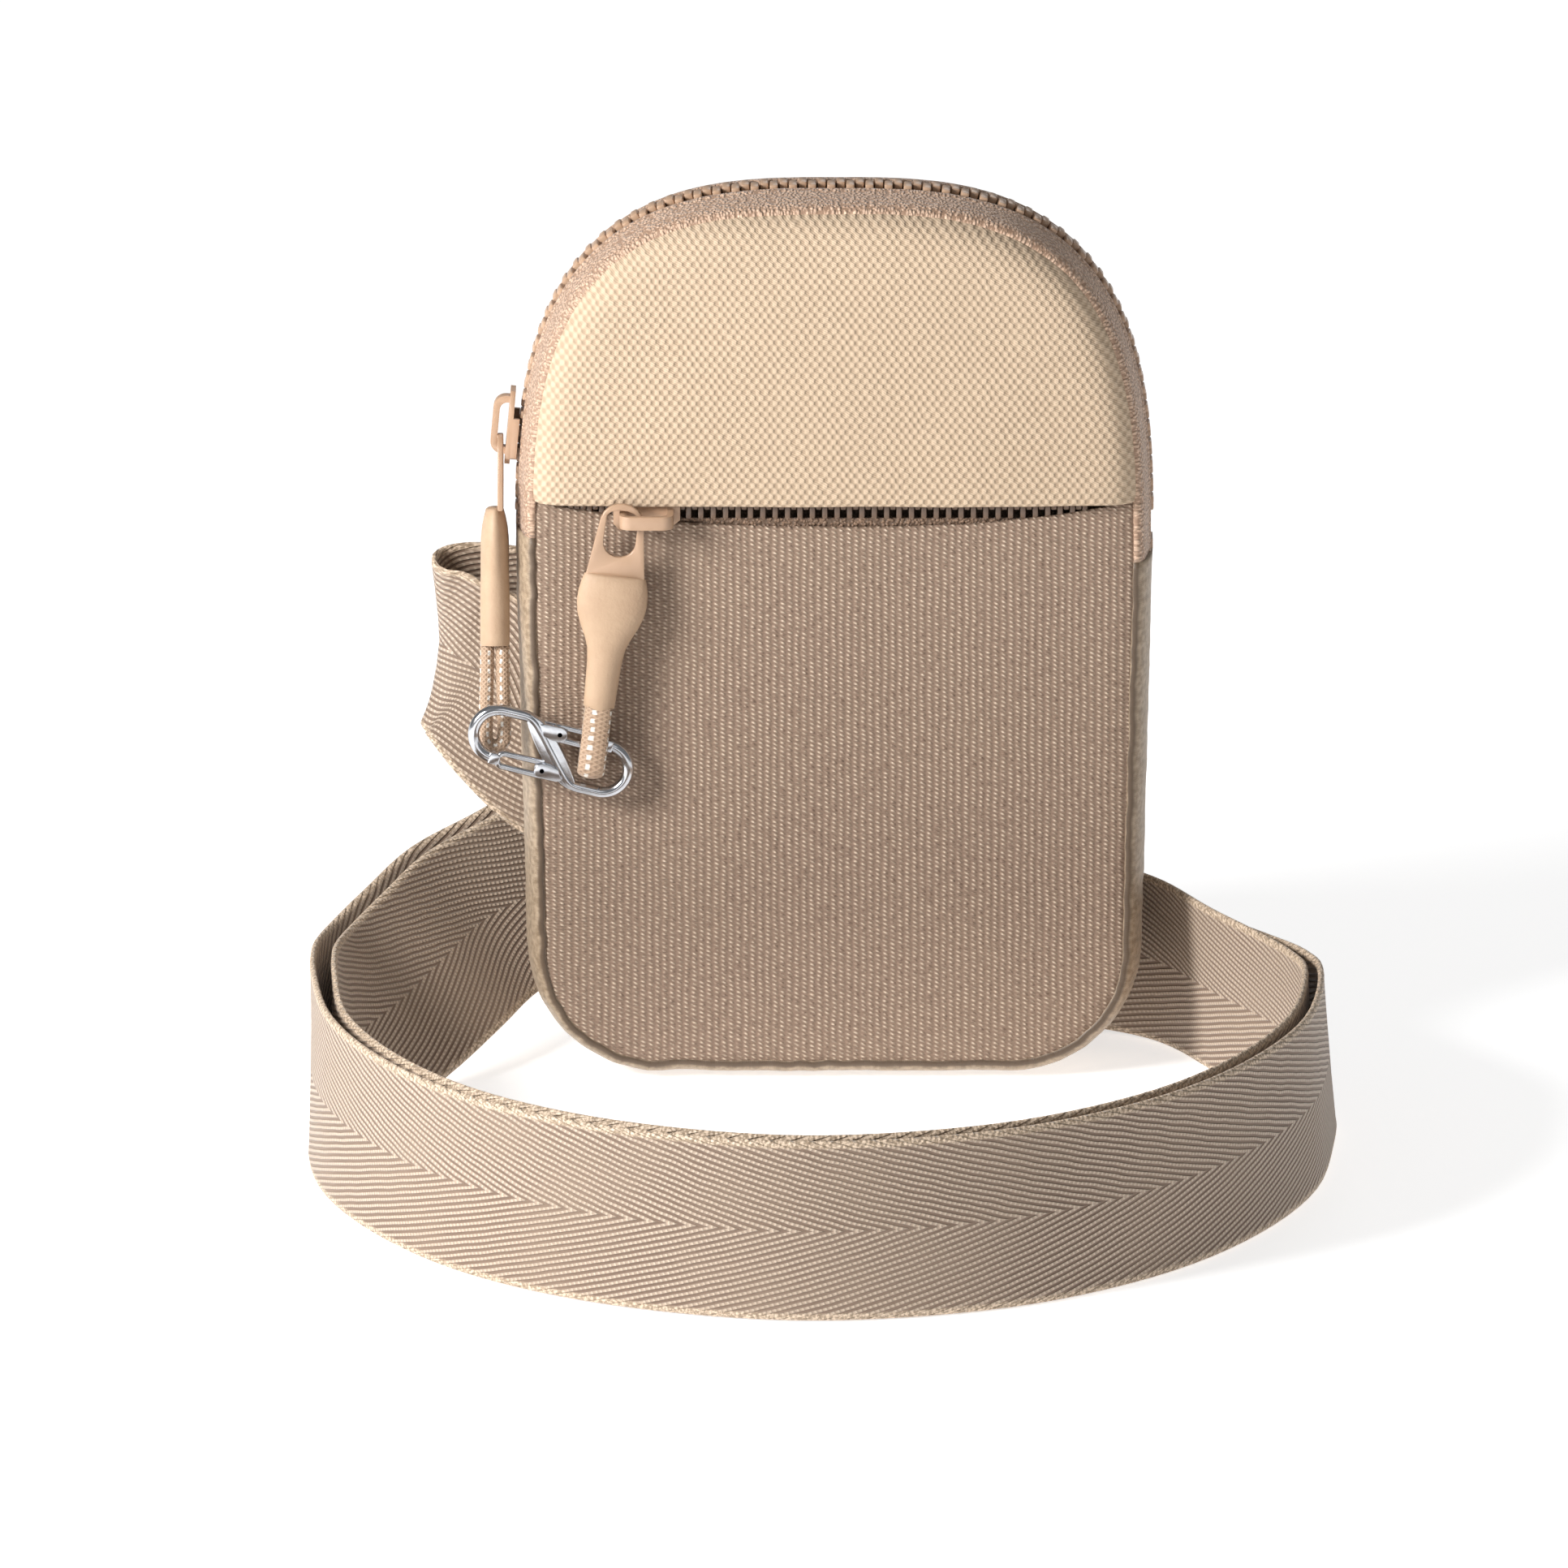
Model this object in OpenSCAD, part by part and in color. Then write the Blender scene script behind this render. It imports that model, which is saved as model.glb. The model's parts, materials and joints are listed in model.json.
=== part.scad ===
// Neck pouch wallet: a zipped pouch with a front pocket, two zip pulls joined by a small
// double clip, and a doubled webbing strap. Origin at the middle of the pouch's base,
// +Z up, the front faces -Y.

/* [Pouch] */
// Half of the pouch's width at its widest
half_w = 67; // [66:0.5:70]
// Height of the pouch
pouch_h = 193.5; // [190:0.5:198]
// Height at which the sides turn into the arch
arch_z = 114; // [112:1:116]
// Radius of the two bottom corners
corner_r = 28; // [24:1:30]
// Distance from the middle to the front and rear seams
seam_y = 12.6; // [12.6:0.1:14]
// How far the seams lie inside the widest outline
seam_inset = 3.5; // [3:0.1:4]
// Thickness of the gusset fabric
gusset_t = 1.4; // [1:0.1:1.8]

/* [Front pocket] */
// Height of the upper panel's hem above the base
hem_z = 128; // [127.5:0.1:129]
// Height of the pocket's edge at its two ends
edge_z = 127; // [126:0.1:127]
// How far the pocket's edge sags in the middle
edge_sag = 5.8; // [4:0.1:7]

/* [Strap] */
// Width of the webbing
web_w = 38; // [36:0.5:38]
// Thickness of the webbing
web_t = 1.2; // [1:0.1:1.4]

/* [Hidden] */
$fn = 32;
eps = 0.01;
bridge_r = 2.6;
flange_h = 1.3;

// Outline of the pouch, seen from the front
low_half_w = half_w - 2;          // half width just above the bottom corners
arch_power = 3;                   // power of the superellipse that forms the arch
arch_steps = 16;                  // points on each half of the arch
corner_steps = 6;                 // points on each bottom corner
left_end = 1;                     // arch points from the left side up to the chain's left end

// Fabric levels, measured along Y
panel_t = 0.7;                    // pocket face
canvas_y = -16.4;                 // front of the upper panel
canvas_t = 1.2;
chain_y = -11.4;                  // middle of the pocket chain
backing_y = -7.4;                // front of the pocket's inner wall
backing_t = 1;
back_y = 12;                      // front of the back panel
back_t = 1;

// Zip sizes
tape_t = 0.8;
tooth_t = 2.4;                    // across the tape's plane
tooth_gap = 0.6;                  // half of the slot that the slider's post runs in
tooth_w = 2.4;
tooth_l = 2.2;
tooth_pitch = 4;
zip_inset = 1.2;                  // middle of the main tapes, inside the widest outline
pocket_chain_z = 126;
pocket_chain_half = 57;
pocket_tooth = [1.3, 2, 2];       // along, across and through the tape
pocket_pitch = 2.6;

// Pull and clip sizes
main_pull_at = [-70.2, 0, 136.6];
main_pull_tilt = 13;
main_sleeve_lie = 1.2;            // how far the main sleeve lies outside its tab
pocket_pull_at = [-44.3, -18.3, 126.5];
pocket_pull_tilt = 7;
tab_t = 1.2;
sleeve_t = 6.2;
clip_at = [-59.6, -18.3, 74.3];
clip_tilt = 14;
clip_r = 1.2;
gate_r = 0.65;
gate_half = 1.45;
gate_pivot = [0.9, 4.3];
gate_reach = 9.1;
pin_r = 0.5;
ring_end = 11.5;                  // centre of each end bend of the clip, along it
bend_r = 5.3;

// Middle line of the outer layer of the strap, from the stitched end behind the left side,
// round the fold, down to the glide, round the floor loop and up to the ring: x, y, z, lean.
strap_main_route = [
    [-48, 14, 57, 0], [-58, 14.4, 63.5, 0], [-66, 15.4, 71, 0], [-74, 17, 80.5, 0],
    [-80, 19, 84.5, 0], [-83, 22.5, 86.5, 0], [-81, 26, 87.5, 0], [-74, 27.6, 87.5, 0],
    [-63, 27.6, 84.4, 0], [-50, 26.6, 71.5, 0], [-36, 25, 60.5, 0], [-22, 24, 50.5, 0],
    [-8, 23.6, 41.5, 0], [10, 23.6, 32.5, 0], [30, 24.5, 25.5, 0], [50, 25.5, 21, 6],
    [65, 23, 19, 18], [76, 14, 18, 23], [86, -5, 18, 23], [95, -24, 18.5, 16],
    [101.5, -40.7, 19.05, 9], [103, -56, 19.05, 4], [99, -88.3, 19.05, 3],
    [87, -117.2, 19.05, 3], [69, -141.7, 19.05, 3], [45, -160.7, 19.05, 3],
    [20, -170.7, 19.05, 3], [-6, -174, 19.05, 3], [-31, -169.5, 19.05, 3],
    [-56, -158.4, 19.05, 3], [-78, -140.6, 19.05, 3], [-95, -116.1, 19.05, 3],
    [-106, -87.2, 19.05, 3], [-109, -56, 19.05, 0], [-104.4, -35.3, 18.4, -16],
    [-96.2, -16, 19, -34], [-87, 2.4, 22.5, -42], [-77.9, 21.6, 25.5, -42],
    [-64.8, 34, 29, -38], [-50, 45.8, 34, -28], [-30.5, 52.2, 41.5, -10], [-12, 52, 54, 0],
    [4, 42, 67.5, 0], [14, 30, 76, 0], [21, 25, 82.2, 0], [27.4, 23.2, 87.6, 0]];

// Middle line of the inner layer, from the ring back to the glide
strap_return_route = [
    [22.2, 17.6, 82.2, 0], [16.5, 19.8, 77.3, 0], [8.5, 26.6, 70, 0], [1, 33.8, 63.5, 0],
    [-12, 45.6, 52.5, 0], [-30, 47, 41.5, -10], [-48, 41, 34, -28], [-62, 30, 29, -38],
    [-74.5, 18, 25.5, -42], [-83, 0, 22.5, -42], [-92, -18, 19, -34], [-100.1, -37, 18.4, -16],
    [-104.6, -56, 19.05, 0], [-102.6, -86.1, 19.05, 3], [-92, -113.9, 19.05, 3],
    [-75.6, -137.7, 19.05, 3], [-54.4, -154.9, 19.05, 3], [-30, -165.7, 19.05, 3],
    [-6, -170, 19.05, 3], [19, -166.7, 19.05, 3], [43.2, -157.1, 19.05, 3],
    [66.6, -138.8, 19.05, 3], [84, -115, 19.05, 3], [95.6, -86.7, 19.05, 3],
    [99.4, -56, 19.05, 3], [97, -42.1, 19.05, 4], [90, -27.5, 19.05, 5],
    [80.5, -11, 19.05, 5], [71, 8, 19.05, 5], [61.5, 17, 19.5, 4], [45, 21.5, 21.5, 0],
    [30, 20.6, 26, 0], [12, 20, 33, 0], [-6, 19.6, 42, 0]];

glide_at = [-16, 21.6, 46];
glide_tilt = 33;
ring_at = [31, 18.3, 90.4];
ring_tilt = 41;
ring_r = 1.5;
ring_half_l = 21.5;
ring_half_w = 5.5;
stitch_r = 0.35;

// ---- outline helpers ----

function ease(s) = 90 * s * s * (3 - 2 * s);

function arch_angle(k) = k <= arch_steps
    ? ease(k / arch_steps)
    : 180 - ease((2 * arch_steps - k) / arch_steps);

function arch_point(k, inset) = let (a = arch_angle(k), c = cos(a))
    [(half_w - inset) * sign(c) * pow(abs(c), 2 / arch_power),
     arch_z + (pouch_h - arch_z - inset) * pow(abs(sin(a)), 2 / arch_power)];

function corner_point(side, a, inset) =
    [side * (low_half_w - corner_r + (corner_r - inset) * cos(a)),
     corner_r - (corner_r - inset) * sin(a)];

// The half of the outline under the arch, from its left end down and round to its right end
function lower_outline(inset) = concat(
    [[-(half_w - 1 - inset), (arch_z + corner_r) / 2]],
    [for (k = [0:corner_steps]) corner_point(-1, 90 * k / corner_steps, inset)],
    [for (k = [corner_steps:-1:0]) corner_point(1, 90 * k / corner_steps, inset)],
    [[half_w - 1 - inset, (arch_z + corner_r) / 2]]);

function arch_outline(inset, from, to) = [for (k = [from:to]) arch_point(k, inset)];

function outline(inset) = concat(arch_outline(inset, 0, 2 * arch_steps), lower_outline(inset));

// The lower band runs from the chain's left end, round the base, to its right end
function band_outline(inset) = concat(
    arch_outline(inset, 2 * arch_steps - left_end, 2 * arch_steps),
    lower_outline(inset), [arch_point(0, inset)]);

function zip_outline(inset) = arch_outline(inset, 0, 2 * arch_steps - left_end);

function reversed(list) = [for (k = [len(list) - 1:-1:0]) list[k]];

// ---- solids shared by several pieces ----

module plate(points, y, t) {
    translate([0, y + t, 0]) rotate([90, 0, 0]) linear_extrude(t) polygon(points);
}

// A sheet solid: one row of outer points and one row of inner points at each station
module sheet(outer, inner) {
    rows = len(outer);
    cols = len(outer[0]);
    half = rows * cols;
    points = concat([for (row = outer) for (p = row) p], [for (row = inner) for (p = row) p]);
    function at(side, r, c) = side * half + r * cols + c;
    faces = concat(
        [for (r = [0:rows - 2]) for (c = [0:cols - 2]) for (f = [
            [at(0, r, c), at(0, r, c + 1), at(0, r + 1, c + 1)],
            [at(0, r, c), at(0, r + 1, c + 1), at(0, r + 1, c)],
            [at(1, r, c), at(1, r + 1, c + 1), at(1, r, c + 1)],
            [at(1, r, c), at(1, r + 1, c), at(1, r + 1, c + 1)]]) f],
        [for (r = [0:rows - 2]) for (f = [
            [at(0, r, 0), at(0, r + 1, 0), at(1, r + 1, 0)],
            [at(0, r, 0), at(1, r + 1, 0), at(1, r, 0)],
            [at(0, r, cols - 1), at(1, r + 1, cols - 1), at(0, r + 1, cols - 1)],
            [at(0, r, cols - 1), at(1, r, cols - 1), at(1, r + 1, cols - 1)]]) f],
        [for (c = [0:cols - 2]) for (f = [
            [at(0, 0, c), at(1, 0, c + 1), at(0, 0, c + 1)],
            [at(0, 0, c), at(1, 0, c), at(1, 0, c + 1)],
            [at(0, rows - 1, c), at(0, rows - 1, c + 1), at(1, rows - 1, c + 1)],
            [at(0, rows - 1, c), at(1, rows - 1, c + 1), at(1, rows - 1, c)]]) f]);
    polyhedron(points, faces);
}

// How far the skin lies inside the widest outline at a depth: flat across the middle
flat_part = 0.3;
function swell(y) =
    seam_inset * pow(max(0, abs(y) / seam_y - flat_part) / (1 - flat_part), 2);

// ---- panels ----

module front_upper_panel() {
    color("#dcc19a") intersection() {
        plate(outline(seam_inset), canvas_y, canvas_t);
        translate([-100, -50, hem_z]) cube([200, 100, 100]);
    }
}

module front_stiffener() {
    color("#8c8c88") intersection() {
        plate(outline(seam_inset + 0.5), canvas_y + canvas_t, -seam_y - canvas_y - canvas_t);
        translate([-100, -50, hem_z + 6]) cube([200, 100, 100]);
    }
}

edge_reach = half_w - seam_inset - 0.5;
function pocket_edge(x) = edge_z - edge_sag * (1 - pow(abs(x) / edge_reach, 2.6));

module front_lower_panel() {
    steps = 20;
    edge = [for (k = [0:steps]) let (x = edge_reach * (2 * k / steps - 1)) [x, pocket_edge(x)]];
    color("#a88c72") intersection() {
        plate(outline(seam_inset), -seam_y - panel_t, panel_t);
        plate(concat([[-80, edge_z]], edge, [[80, edge_z], [80, -10], [-80, -10]]), -30, 20);
    }
}

module pocket_backing() {
    color("#6f5643") plate(outline(seam_inset + 0.5), backing_y, backing_t);
}

module back_panel() {
    color("#a88c72") plate(outline(seam_inset), back_y, back_t);
}

module back_stiffener() {
    color("#8c8c88") plate(outline(seam_inset + 2.5), back_y - 1.5, 1.5);
}

module back_lining() {
    color("#6f5643") plate(outline(seam_inset + 2.5), back_y - 2, 0.5);
}

module inner_slip_pocket() {
    color("#7b6350") intersection() {
        plate(outline(seam_inset + 3), back_y - 2.8, 0.8);
        translate([-100, -50, 0]) cube([200, 100, 105]);
    }
}

module gusset() {
    stations = [-1, -0.75, -0.5, -flat_part, flat_part, 0.5, 0.75, 1];
    ys = [for (s = stations) s * (s < 0 ? seam_y : back_y)];
    outer = [for (y = ys) [for (p = band_outline(swell(y))) [p[0], y, p[1]]]];
    inner = [for (y = ys) [for (p = band_outline(swell(y) + gusset_t)) [p[0], y, p[1]]]];
    color("#a08a70") sheet(inner, outer);
}

// Binding tape over the raw edges inside a seam
module seam_binding(y) {
    t = 1.6;
    difference() {
        plate(outline(seam_inset + gusset_t + 0.2), y, t);
        plate(outline(seam_inset + gusset_t + 1.6), y - 1, t + 2);
    }
}

module seam_binding_front() {
    color("#5e4a3a") seam_binding(-6.2);
}

module seam_binding_rear() {
    color("#5e4a3a") seam_binding(8);
}

// ---- main zip ----

module main_tape(side) {
    reach = tooth_gap + tooth_w;
    ends = side < 0 ? [-seam_y, -reach] : [reach, back_y];
    ys = [for (k = [0:3]) ends[0] + (ends[1] - ends[0]) * k / 3];
    function mid(y) = max(swell(y), zip_inset - tape_t / 2);
    outer = [for (y = ys) [for (p = zip_outline(mid(y))) [p[0], y, p[1]]]];
    inner = [for (y = ys) [for (p = zip_outline(mid(y) + tape_t)) [p[0], y, p[1]]]];
    sheet(inner, outer);
}

module main_zip_tape_front() {
    color("#cfa888") main_tape(-1);
}

module main_zip_tape_rear() {
    color("#cfa888") main_tape(1);
}

// Distance along a list of points up to each of them
function run(points, k = 0, total = 0) = k == len(points) - 1
    ? [total]
    : concat([total], run(points, k + 1, total + norm(points[k + 1] - points[k])));

// Index of the stretch that holds a distance
function stretch(lengths, s, k = 0) =
    k >= len(lengths) - 2 || s <= lengths[k + 1] ? k : stretch(lengths, s, k + 1);

// Blocks along a path in the XZ plane, square to it
module along_zip(first, pitch, count, y, size) {
    path = zip_outline(zip_inset);
    lengths = run(path);
    for (n = [0:count - 1]) {
        s = first + n * pitch;
        k = stretch(lengths, s);
        d = path[k + 1] - path[k];
        p = path[k] + d * (s - lengths[k]) / norm(d);
        translate([p[0], y, p[1]]) rotate([0, -atan2(d[1], d[0]), 0])
            translate([-size[0] / 2, -size[1] / 2, -size[2] / 2]) cube(size);
    }
}

zip_length = run(zip_outline(zip_inset))[2 * arch_steps - left_end];
tooth_count = floor((zip_length - 8) / tooth_pitch);

module main_zip_teeth_front() {
    color("#c79c78") along_zip(4, tooth_pitch, tooth_count,
        -tooth_gap - tooth_w / 2, [tooth_l, tooth_w, tooth_t]);
}

module main_zip_teeth_rear() {
    color("#c79c78") along_zip(4 + tooth_pitch / 2, tooth_pitch, tooth_count,
        tooth_gap + tooth_w / 2, [tooth_l, tooth_w, tooth_t]);
}

module main_zip_stops() {
    color("#c79c78") along_zip(1.2, zip_length - 2.4, 2, 0, [2, 5.6, tooth_t]);
}

// ---- pocket zip ----

module pocket_zip_tape(z) {
    translate([-59, chain_y - 0.3, z]) cube([118, 0.6, 11]);
}

module pocket_zip_tape_upper() {
    color("#8d6f55") pocket_zip_tape(pocket_chain_z + tooth_gap + pocket_tooth[1]);
}

module pocket_zip_tape_lower() {
    color("#8d6f55") pocket_zip_tape(pocket_chain_z - tooth_gap - pocket_tooth[1] - 11);
}

module pocket_teeth(side, shift) {
    z = pocket_chain_z + side * (tooth_gap + pocket_tooth[1] / 2);
    for (x = [-pocket_chain_half + 1 + shift:pocket_pitch:pocket_chain_half - 2])
        translate([x, chain_y - pocket_tooth[2] / 2, z - pocket_tooth[1] / 2])
            cube([pocket_tooth[0], pocket_tooth[2], pocket_tooth[1]]);
}

module pocket_zip_teeth_upper() {
    color("#b98f6c") pocket_teeth(1, 0);
}

module pocket_zip_teeth_lower() {
    color("#b98f6c") pocket_teeth(-1, pocket_pitch / 2);
}

module pocket_zip_stops() {
    color("#b98f6c") for (x = [-pocket_chain_half - 1.6, pocket_chain_half - 0.2])
        translate([x, chain_y - 1, pocket_chain_z - 2.6]) cube([1.6, 2, 5.2]);
}

// ---- sliders: travel along X, tape in the XY plane, outside is +Z ----

module slider_plate(length, width, t) {
    linear_extrude(t) polygon([[-length / 2, -width / 2 + 1.4], [-length / 2 + 1.4, -width / 2],
        [length / 2 - 2, -width / 2 + 0.6], [length / 2, -width / 4], [length / 2, width / 4],
        [length / 2 - 2, width / 2 - 0.6], [-length / 2 + 1.4, width / 2],
        [-length / 2, width / 2 - 1.4]]);
}

// An upright arch outline with rounded shoulders
module arch_outline(low, high, half, r) {
    polygon(concat([[-half, low]],
        [for (a = [180:-15:90]) [-half + r + r * cos(a), high - r + r * sin(a)]],
        [for (a = [90:-15:0]) [half - r + r * cos(a), high - r + r * sin(a)]],
        [[half, low]]));
}

// The bridge that the tab hangs on: a flat strip bent over with rounded shoulders
module bridge(low, high, length, width, t) {
    translate([0, width / 2, 0]) rotate([90, 0, 0]) linear_extrude(width) difference() {
        arch_outline(low - eps, high, length / 2, bridge_r);
        arch_outline(low - 2 * eps, high - t, length / 2 - t, bridge_r - t + 0.4);
    }
}

// The edges of a slider's outer plate, turned in towards the tape
module slider_flanges(length, width, gap) {
    for (side = [-1, 1])
        translate([-length / 2 + 1.6, side * (width / 2 - 0.45) - 0.45, gap / 2 - flange_h])
            cube([length * 0.55, 0.9, flange_h + eps]);
}

module zip_slider(length, width, gap, t, bar_length, bar_width, bar_high, bar_shift) {
    translate([0, 0, gap / 2]) slider_plate(length, width, t);
    translate([0, 0, -gap / 2 - t]) slider_plate(length, width, t);
    translate([-length / 2 + 0.2, -0.4, -gap / 2 - eps]) cube([3, 0.8, gap + 2 * eps]);
    translate([0, bar_shift, 0]) bridge(gap / 2 + t, bar_high, bar_length, bar_width, 1.4);
}

module main_slider() {
    color("#c39a77") translate([-65.4, 0, 140.4]) rotate([0, -90 + 5.2, 0]) {
        zip_slider(15.6, 9.4, 4.4, 1.1, 12.6, 2.4, 6.6, 0);
        slider_flanges(15.6, 9.4, 4.4);
    }
}

module pocket_slider() {
    color("#c39a77") translate([-39.4, chain_y, pocket_chain_z]) rotate([90, 0, 0])
        zip_slider(14, 8.8, 4.4, 1, 11.4, 2.8, 9.7, -1.2);
}

// ---- pulls: they hang along -Z from the origin, the tab in the XZ plane ----

module pull_tab() {
    plate_points = concat(
        [for (a = [10:20:170]) [4.6 * cos(a), -2.2 + 4.2 * sin(a)]],
        [[-6.2, -14.2], [6.2, -14.2]]);
    hole_points = concat(
        [for (a = [15:30:165]) [3.4 * cos(a), -1.2 + 1.8 * sin(a)]],
        [for (a = [180:20:360]) [3.4 * cos(a), -6.4 + 3.3 * sin(a)]]);
    translate([0, tab_t / 2, 0]) rotate([90, 0, 0]) linear_extrude(tab_t) difference() {
        polygon(plate_points);
        polygon(hole_points);
    }
}

module pull_sleeve(lie) {
    right = [[6.3, -13.6], [7.2, -17], [7.4, -20], [6.6, -24], [4.8, -27.6], [3.7, -31],
        [3.5, -36], [3.2, -42.8]];
    left = [for (p = reversed(right)) [-p[0], p[1]]];
    difference() {
        intersection() {
            translate([0, sleeve_t / 2, 0]) rotate([90, 0, 0]) linear_extrude(sleeve_t)
                polygon(concat(right, left));
            rotate([0, 90, 0]) translate([0, 0, -10]) linear_extrude(20)
                polygon([[13.6, -2.2], [20, -sleeve_t / 2], [43, -sleeve_t / 2],
                    [43, sleeve_t / 2], [20, sleeve_t / 2], [13.6, 2.2]]);
        }
        translate([-7, -tab_t / 2 - lie, -14.2]) cube([14, tab_t, 2]);
    }
}

// A loop of cord whose two strands leave the sleeve side by side and turn round below it.
// The section is an ellipse, the loop opens in the YZ plane.
function loop_path(top, low, near, wide) = concat(
    [[near, top], [near + (wide - near) * 0.3, top + (low + wide - top) * 0.35],
     [wide, top + (low + wide - top) * 0.75]],
    [for (a = [0:-22.5:-180]) [wide * cos(a), low + wide + wide * sin(a)]],
    [[-wide, top + (low + wide - top) * 0.75],
     [-near - (wide - near) * 0.3, top + (low + wide - top) * 0.35], [-near, top]]);

module pull_cord(top, low, near, wide, rx, rs) {
    path = loop_path(top, low, near, wide);
    sides = 8;
    rows = len(path);
    function heading(k) = let (d = path[min(k + 1, rows - 1)] - path[max(k - 1, 0)])
        d / norm(d);
    points = [for (k = [0:rows - 1]) let (d = heading(k)) for (j = [0:sides - 1])
        let (a = 360 * j / sides, s = rs * sin(a))
        [rx * cos(a), path[k][0] - d[1] * s, path[k][1] + d[0] * s]];
    faces = concat(
        [for (k = [0:rows - 2]) for (j = [0:sides - 1]) for (f = [
            [k * sides + j, (k + 1) * sides + (j + 1) % sides, k * sides + (j + 1) % sides],
            [k * sides + j, (k + 1) * sides + j, (k + 1) * sides + (j + 1) % sides]]) f],
        [[for (j = [0:sides - 1]) j], [for (j = [sides - 1:-1:0]) (rows - 1) * sides + j]]);
    polyhedron(points, faces);
}

module on_main_pull(lie) {
    translate(main_pull_at) rotate([-main_pull_tilt, 0, 0]) translate([-lie, 0, 0])
        rotate([0, 0, 90]) children();
}

module on_pocket_pull() {
    translate(pocket_pull_at) rotate([0, pocket_pull_tilt, 0]) children();
}

module main_pull_tab() {
    color("#c39a77") on_main_pull(0) pull_tab();
}

module main_pull_sleeve() {
    color("#c8a17e") on_main_pull(main_sleeve_lie) pull_sleeve(main_sleeve_lie);
}

module main_pull_cord() {
    color("#b98e6b") on_main_pull(main_sleeve_lie)
        pull_cord(-43.2, -64, 1.6, 1.9, 1.5, 1.5);
}

module pocket_pull_tab() {
    color("#c39a77") on_pocket_pull() pull_tab();
}

module pocket_pull_sleeve() {
    color("#c8a17e") on_pocket_pull() pull_sleeve(0);
}

module pocket_pull_cord() {
    color("#b98e6b") on_pocket_pull() pull_cord(-43.2, -57.1, 1.5, 3.1, 2.9, 1.35);
}

// ---- clip: u along it, v across it, both in the XZ plane, seen from the front ----

module on_clip() {
    translate(clip_at) rotate([0, clip_tilt, 0]) rotate([90, 0, 0]) children();
}

// The half of the clip with its bend at the right; the other half is the same, turned over
module clip_half() {
    translate([ring_end, -1, 0]) rotate([0, 0, -90])
        rotate_extrude(angle = 180) translate([bend_r, 0]) circle(clip_r);
    translate([3.6, -1 - bend_r, 0]) rotate([0, 90, 0]) cylinder(r = clip_r, h = ring_end - 3.6);
    for (w = [0.8, -1.5]) translate([0, 0, w]) linear_extrude(0.7) difference() {
        union() {
            translate(gate_pivot) circle(1.5);
            translate([-3.2, gate_pivot[1] - 1.5]) square([3.2 + gate_pivot[0], 3]);
        }
        translate(gate_pivot) circle(pin_r);
    }
}

module clip_body() {
    color("#c9cdd1") on_clip() {
        clip_half();
        rotate([0, 0, 180]) clip_half();
        translate([0, 0, -1]) linear_extrude(2)
            polygon([[-5.2, 7.3], [-2.6, 5.1], [1.8, 0], [5.4, -5.3], [5.2, -7.3], [2.6, -5.1],
                [-1.8, 0], [-5.4, 5.3]]);
    }
}

module gate() {
    difference() {
        translate([gate_pivot[0], gate_pivot[1], -0.6]) cylinder(r = 1.5, h = 1.2);
        translate([gate_pivot[0], gate_pivot[1], -2]) cylinder(r = pin_r + 0.1, h = 4);
    }
    for (s = [-1, 1]) translate([gate_pivot[0] + 0.2, gate_pivot[1] + s * gate_half, 0])
        rotate([0, 90, 0]) cylinder(r = gate_r, h = gate_reach - gate_pivot[0] - 0.2);
    translate([gate_reach, gate_pivot[1], 0]) rotate([0, 0, -90])
        rotate_extrude(angle = 180) translate([gate_half, 0]) circle(gate_r);
}

module clip_gate_right() {
    color("#c9cdd1") on_clip() gate();
}

module clip_gate_left() {
    color("#c9cdd1") on_clip() rotate([0, 0, 180]) gate();
}

module clip_gate_pins() {
    color("#aeb2b6") on_clip() for (turn = [0, 180]) rotate([0, 0, turn])
        translate([gate_pivot[0], gate_pivot[1], -1.5]) cylinder(r = pin_r, h = 3);
}

// ---- strap ----

function unit(v) = v / norm(v);

// A flat band swept along a route, on edge, with the lean of each point about its heading
module webbing(route, lean_side) {
    rows = len(route);
    function spot(k) = [route[k][0], route[k][1], route[k][2]];
    function heading(k) = unit(spot(min(k + 1, rows - 1)) - spot(max(k - 1, 0)));
    points = [for (k = [0:rows - 1]) let (
            d = heading(k),
            up = unit([0, 0, 1] - d[2] * d),
            out = cross(up, d),
            lean = lean_side * route[k][3],
            w = up * cos(lean) + out * sin(lean),
            n = cross(w, d))
        for (c = [[1, 1], [-1, 1], [-1, -1], [1, -1]])
            spot(k) + w * c[0] * web_w / 2 + n * c[1] * web_t / 2];
    faces = concat(
        [for (k = [0:rows - 2]) for (j = [0:3]) for (f = [
            [4 * k + j, 4 * k + (j + 1) % 4, 4 * k + 4 + (j + 1) % 4],
            [4 * k + j, 4 * k + 4 + (j + 1) % 4, 4 * k + 4 + j]]) f],
        [[3, 2, 1, 0], [for (j = [0:3]) 4 * (rows - 1) + j]]);
    polyhedron(points, faces);
}

module strap_main() {
    color("#b39b7d") webbing(strap_main_route, -1);
}

module strap_return() {
    color("#ab9375") webbing(strap_return_route, 1);
}

module on_glide() {
    translate(glide_at) rotate([0, glide_tilt, 0]) rotate([90, 0, 0]) children();
}

module strap_glide() {
    color("#3f3a35") on_glide() linear_extrude(2, center = true) difference() {
        square([24, web_w + 7], center = true);
        for (s = [-1, 1]) translate([s * 5.6, 0]) square([6.4, web_w + 1], center = true);
    }
}

module on_ring() {
    translate(ring_at) rotate([0, -ring_tilt, 0]) rotate([90, 0, 0]) children();
}

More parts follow.
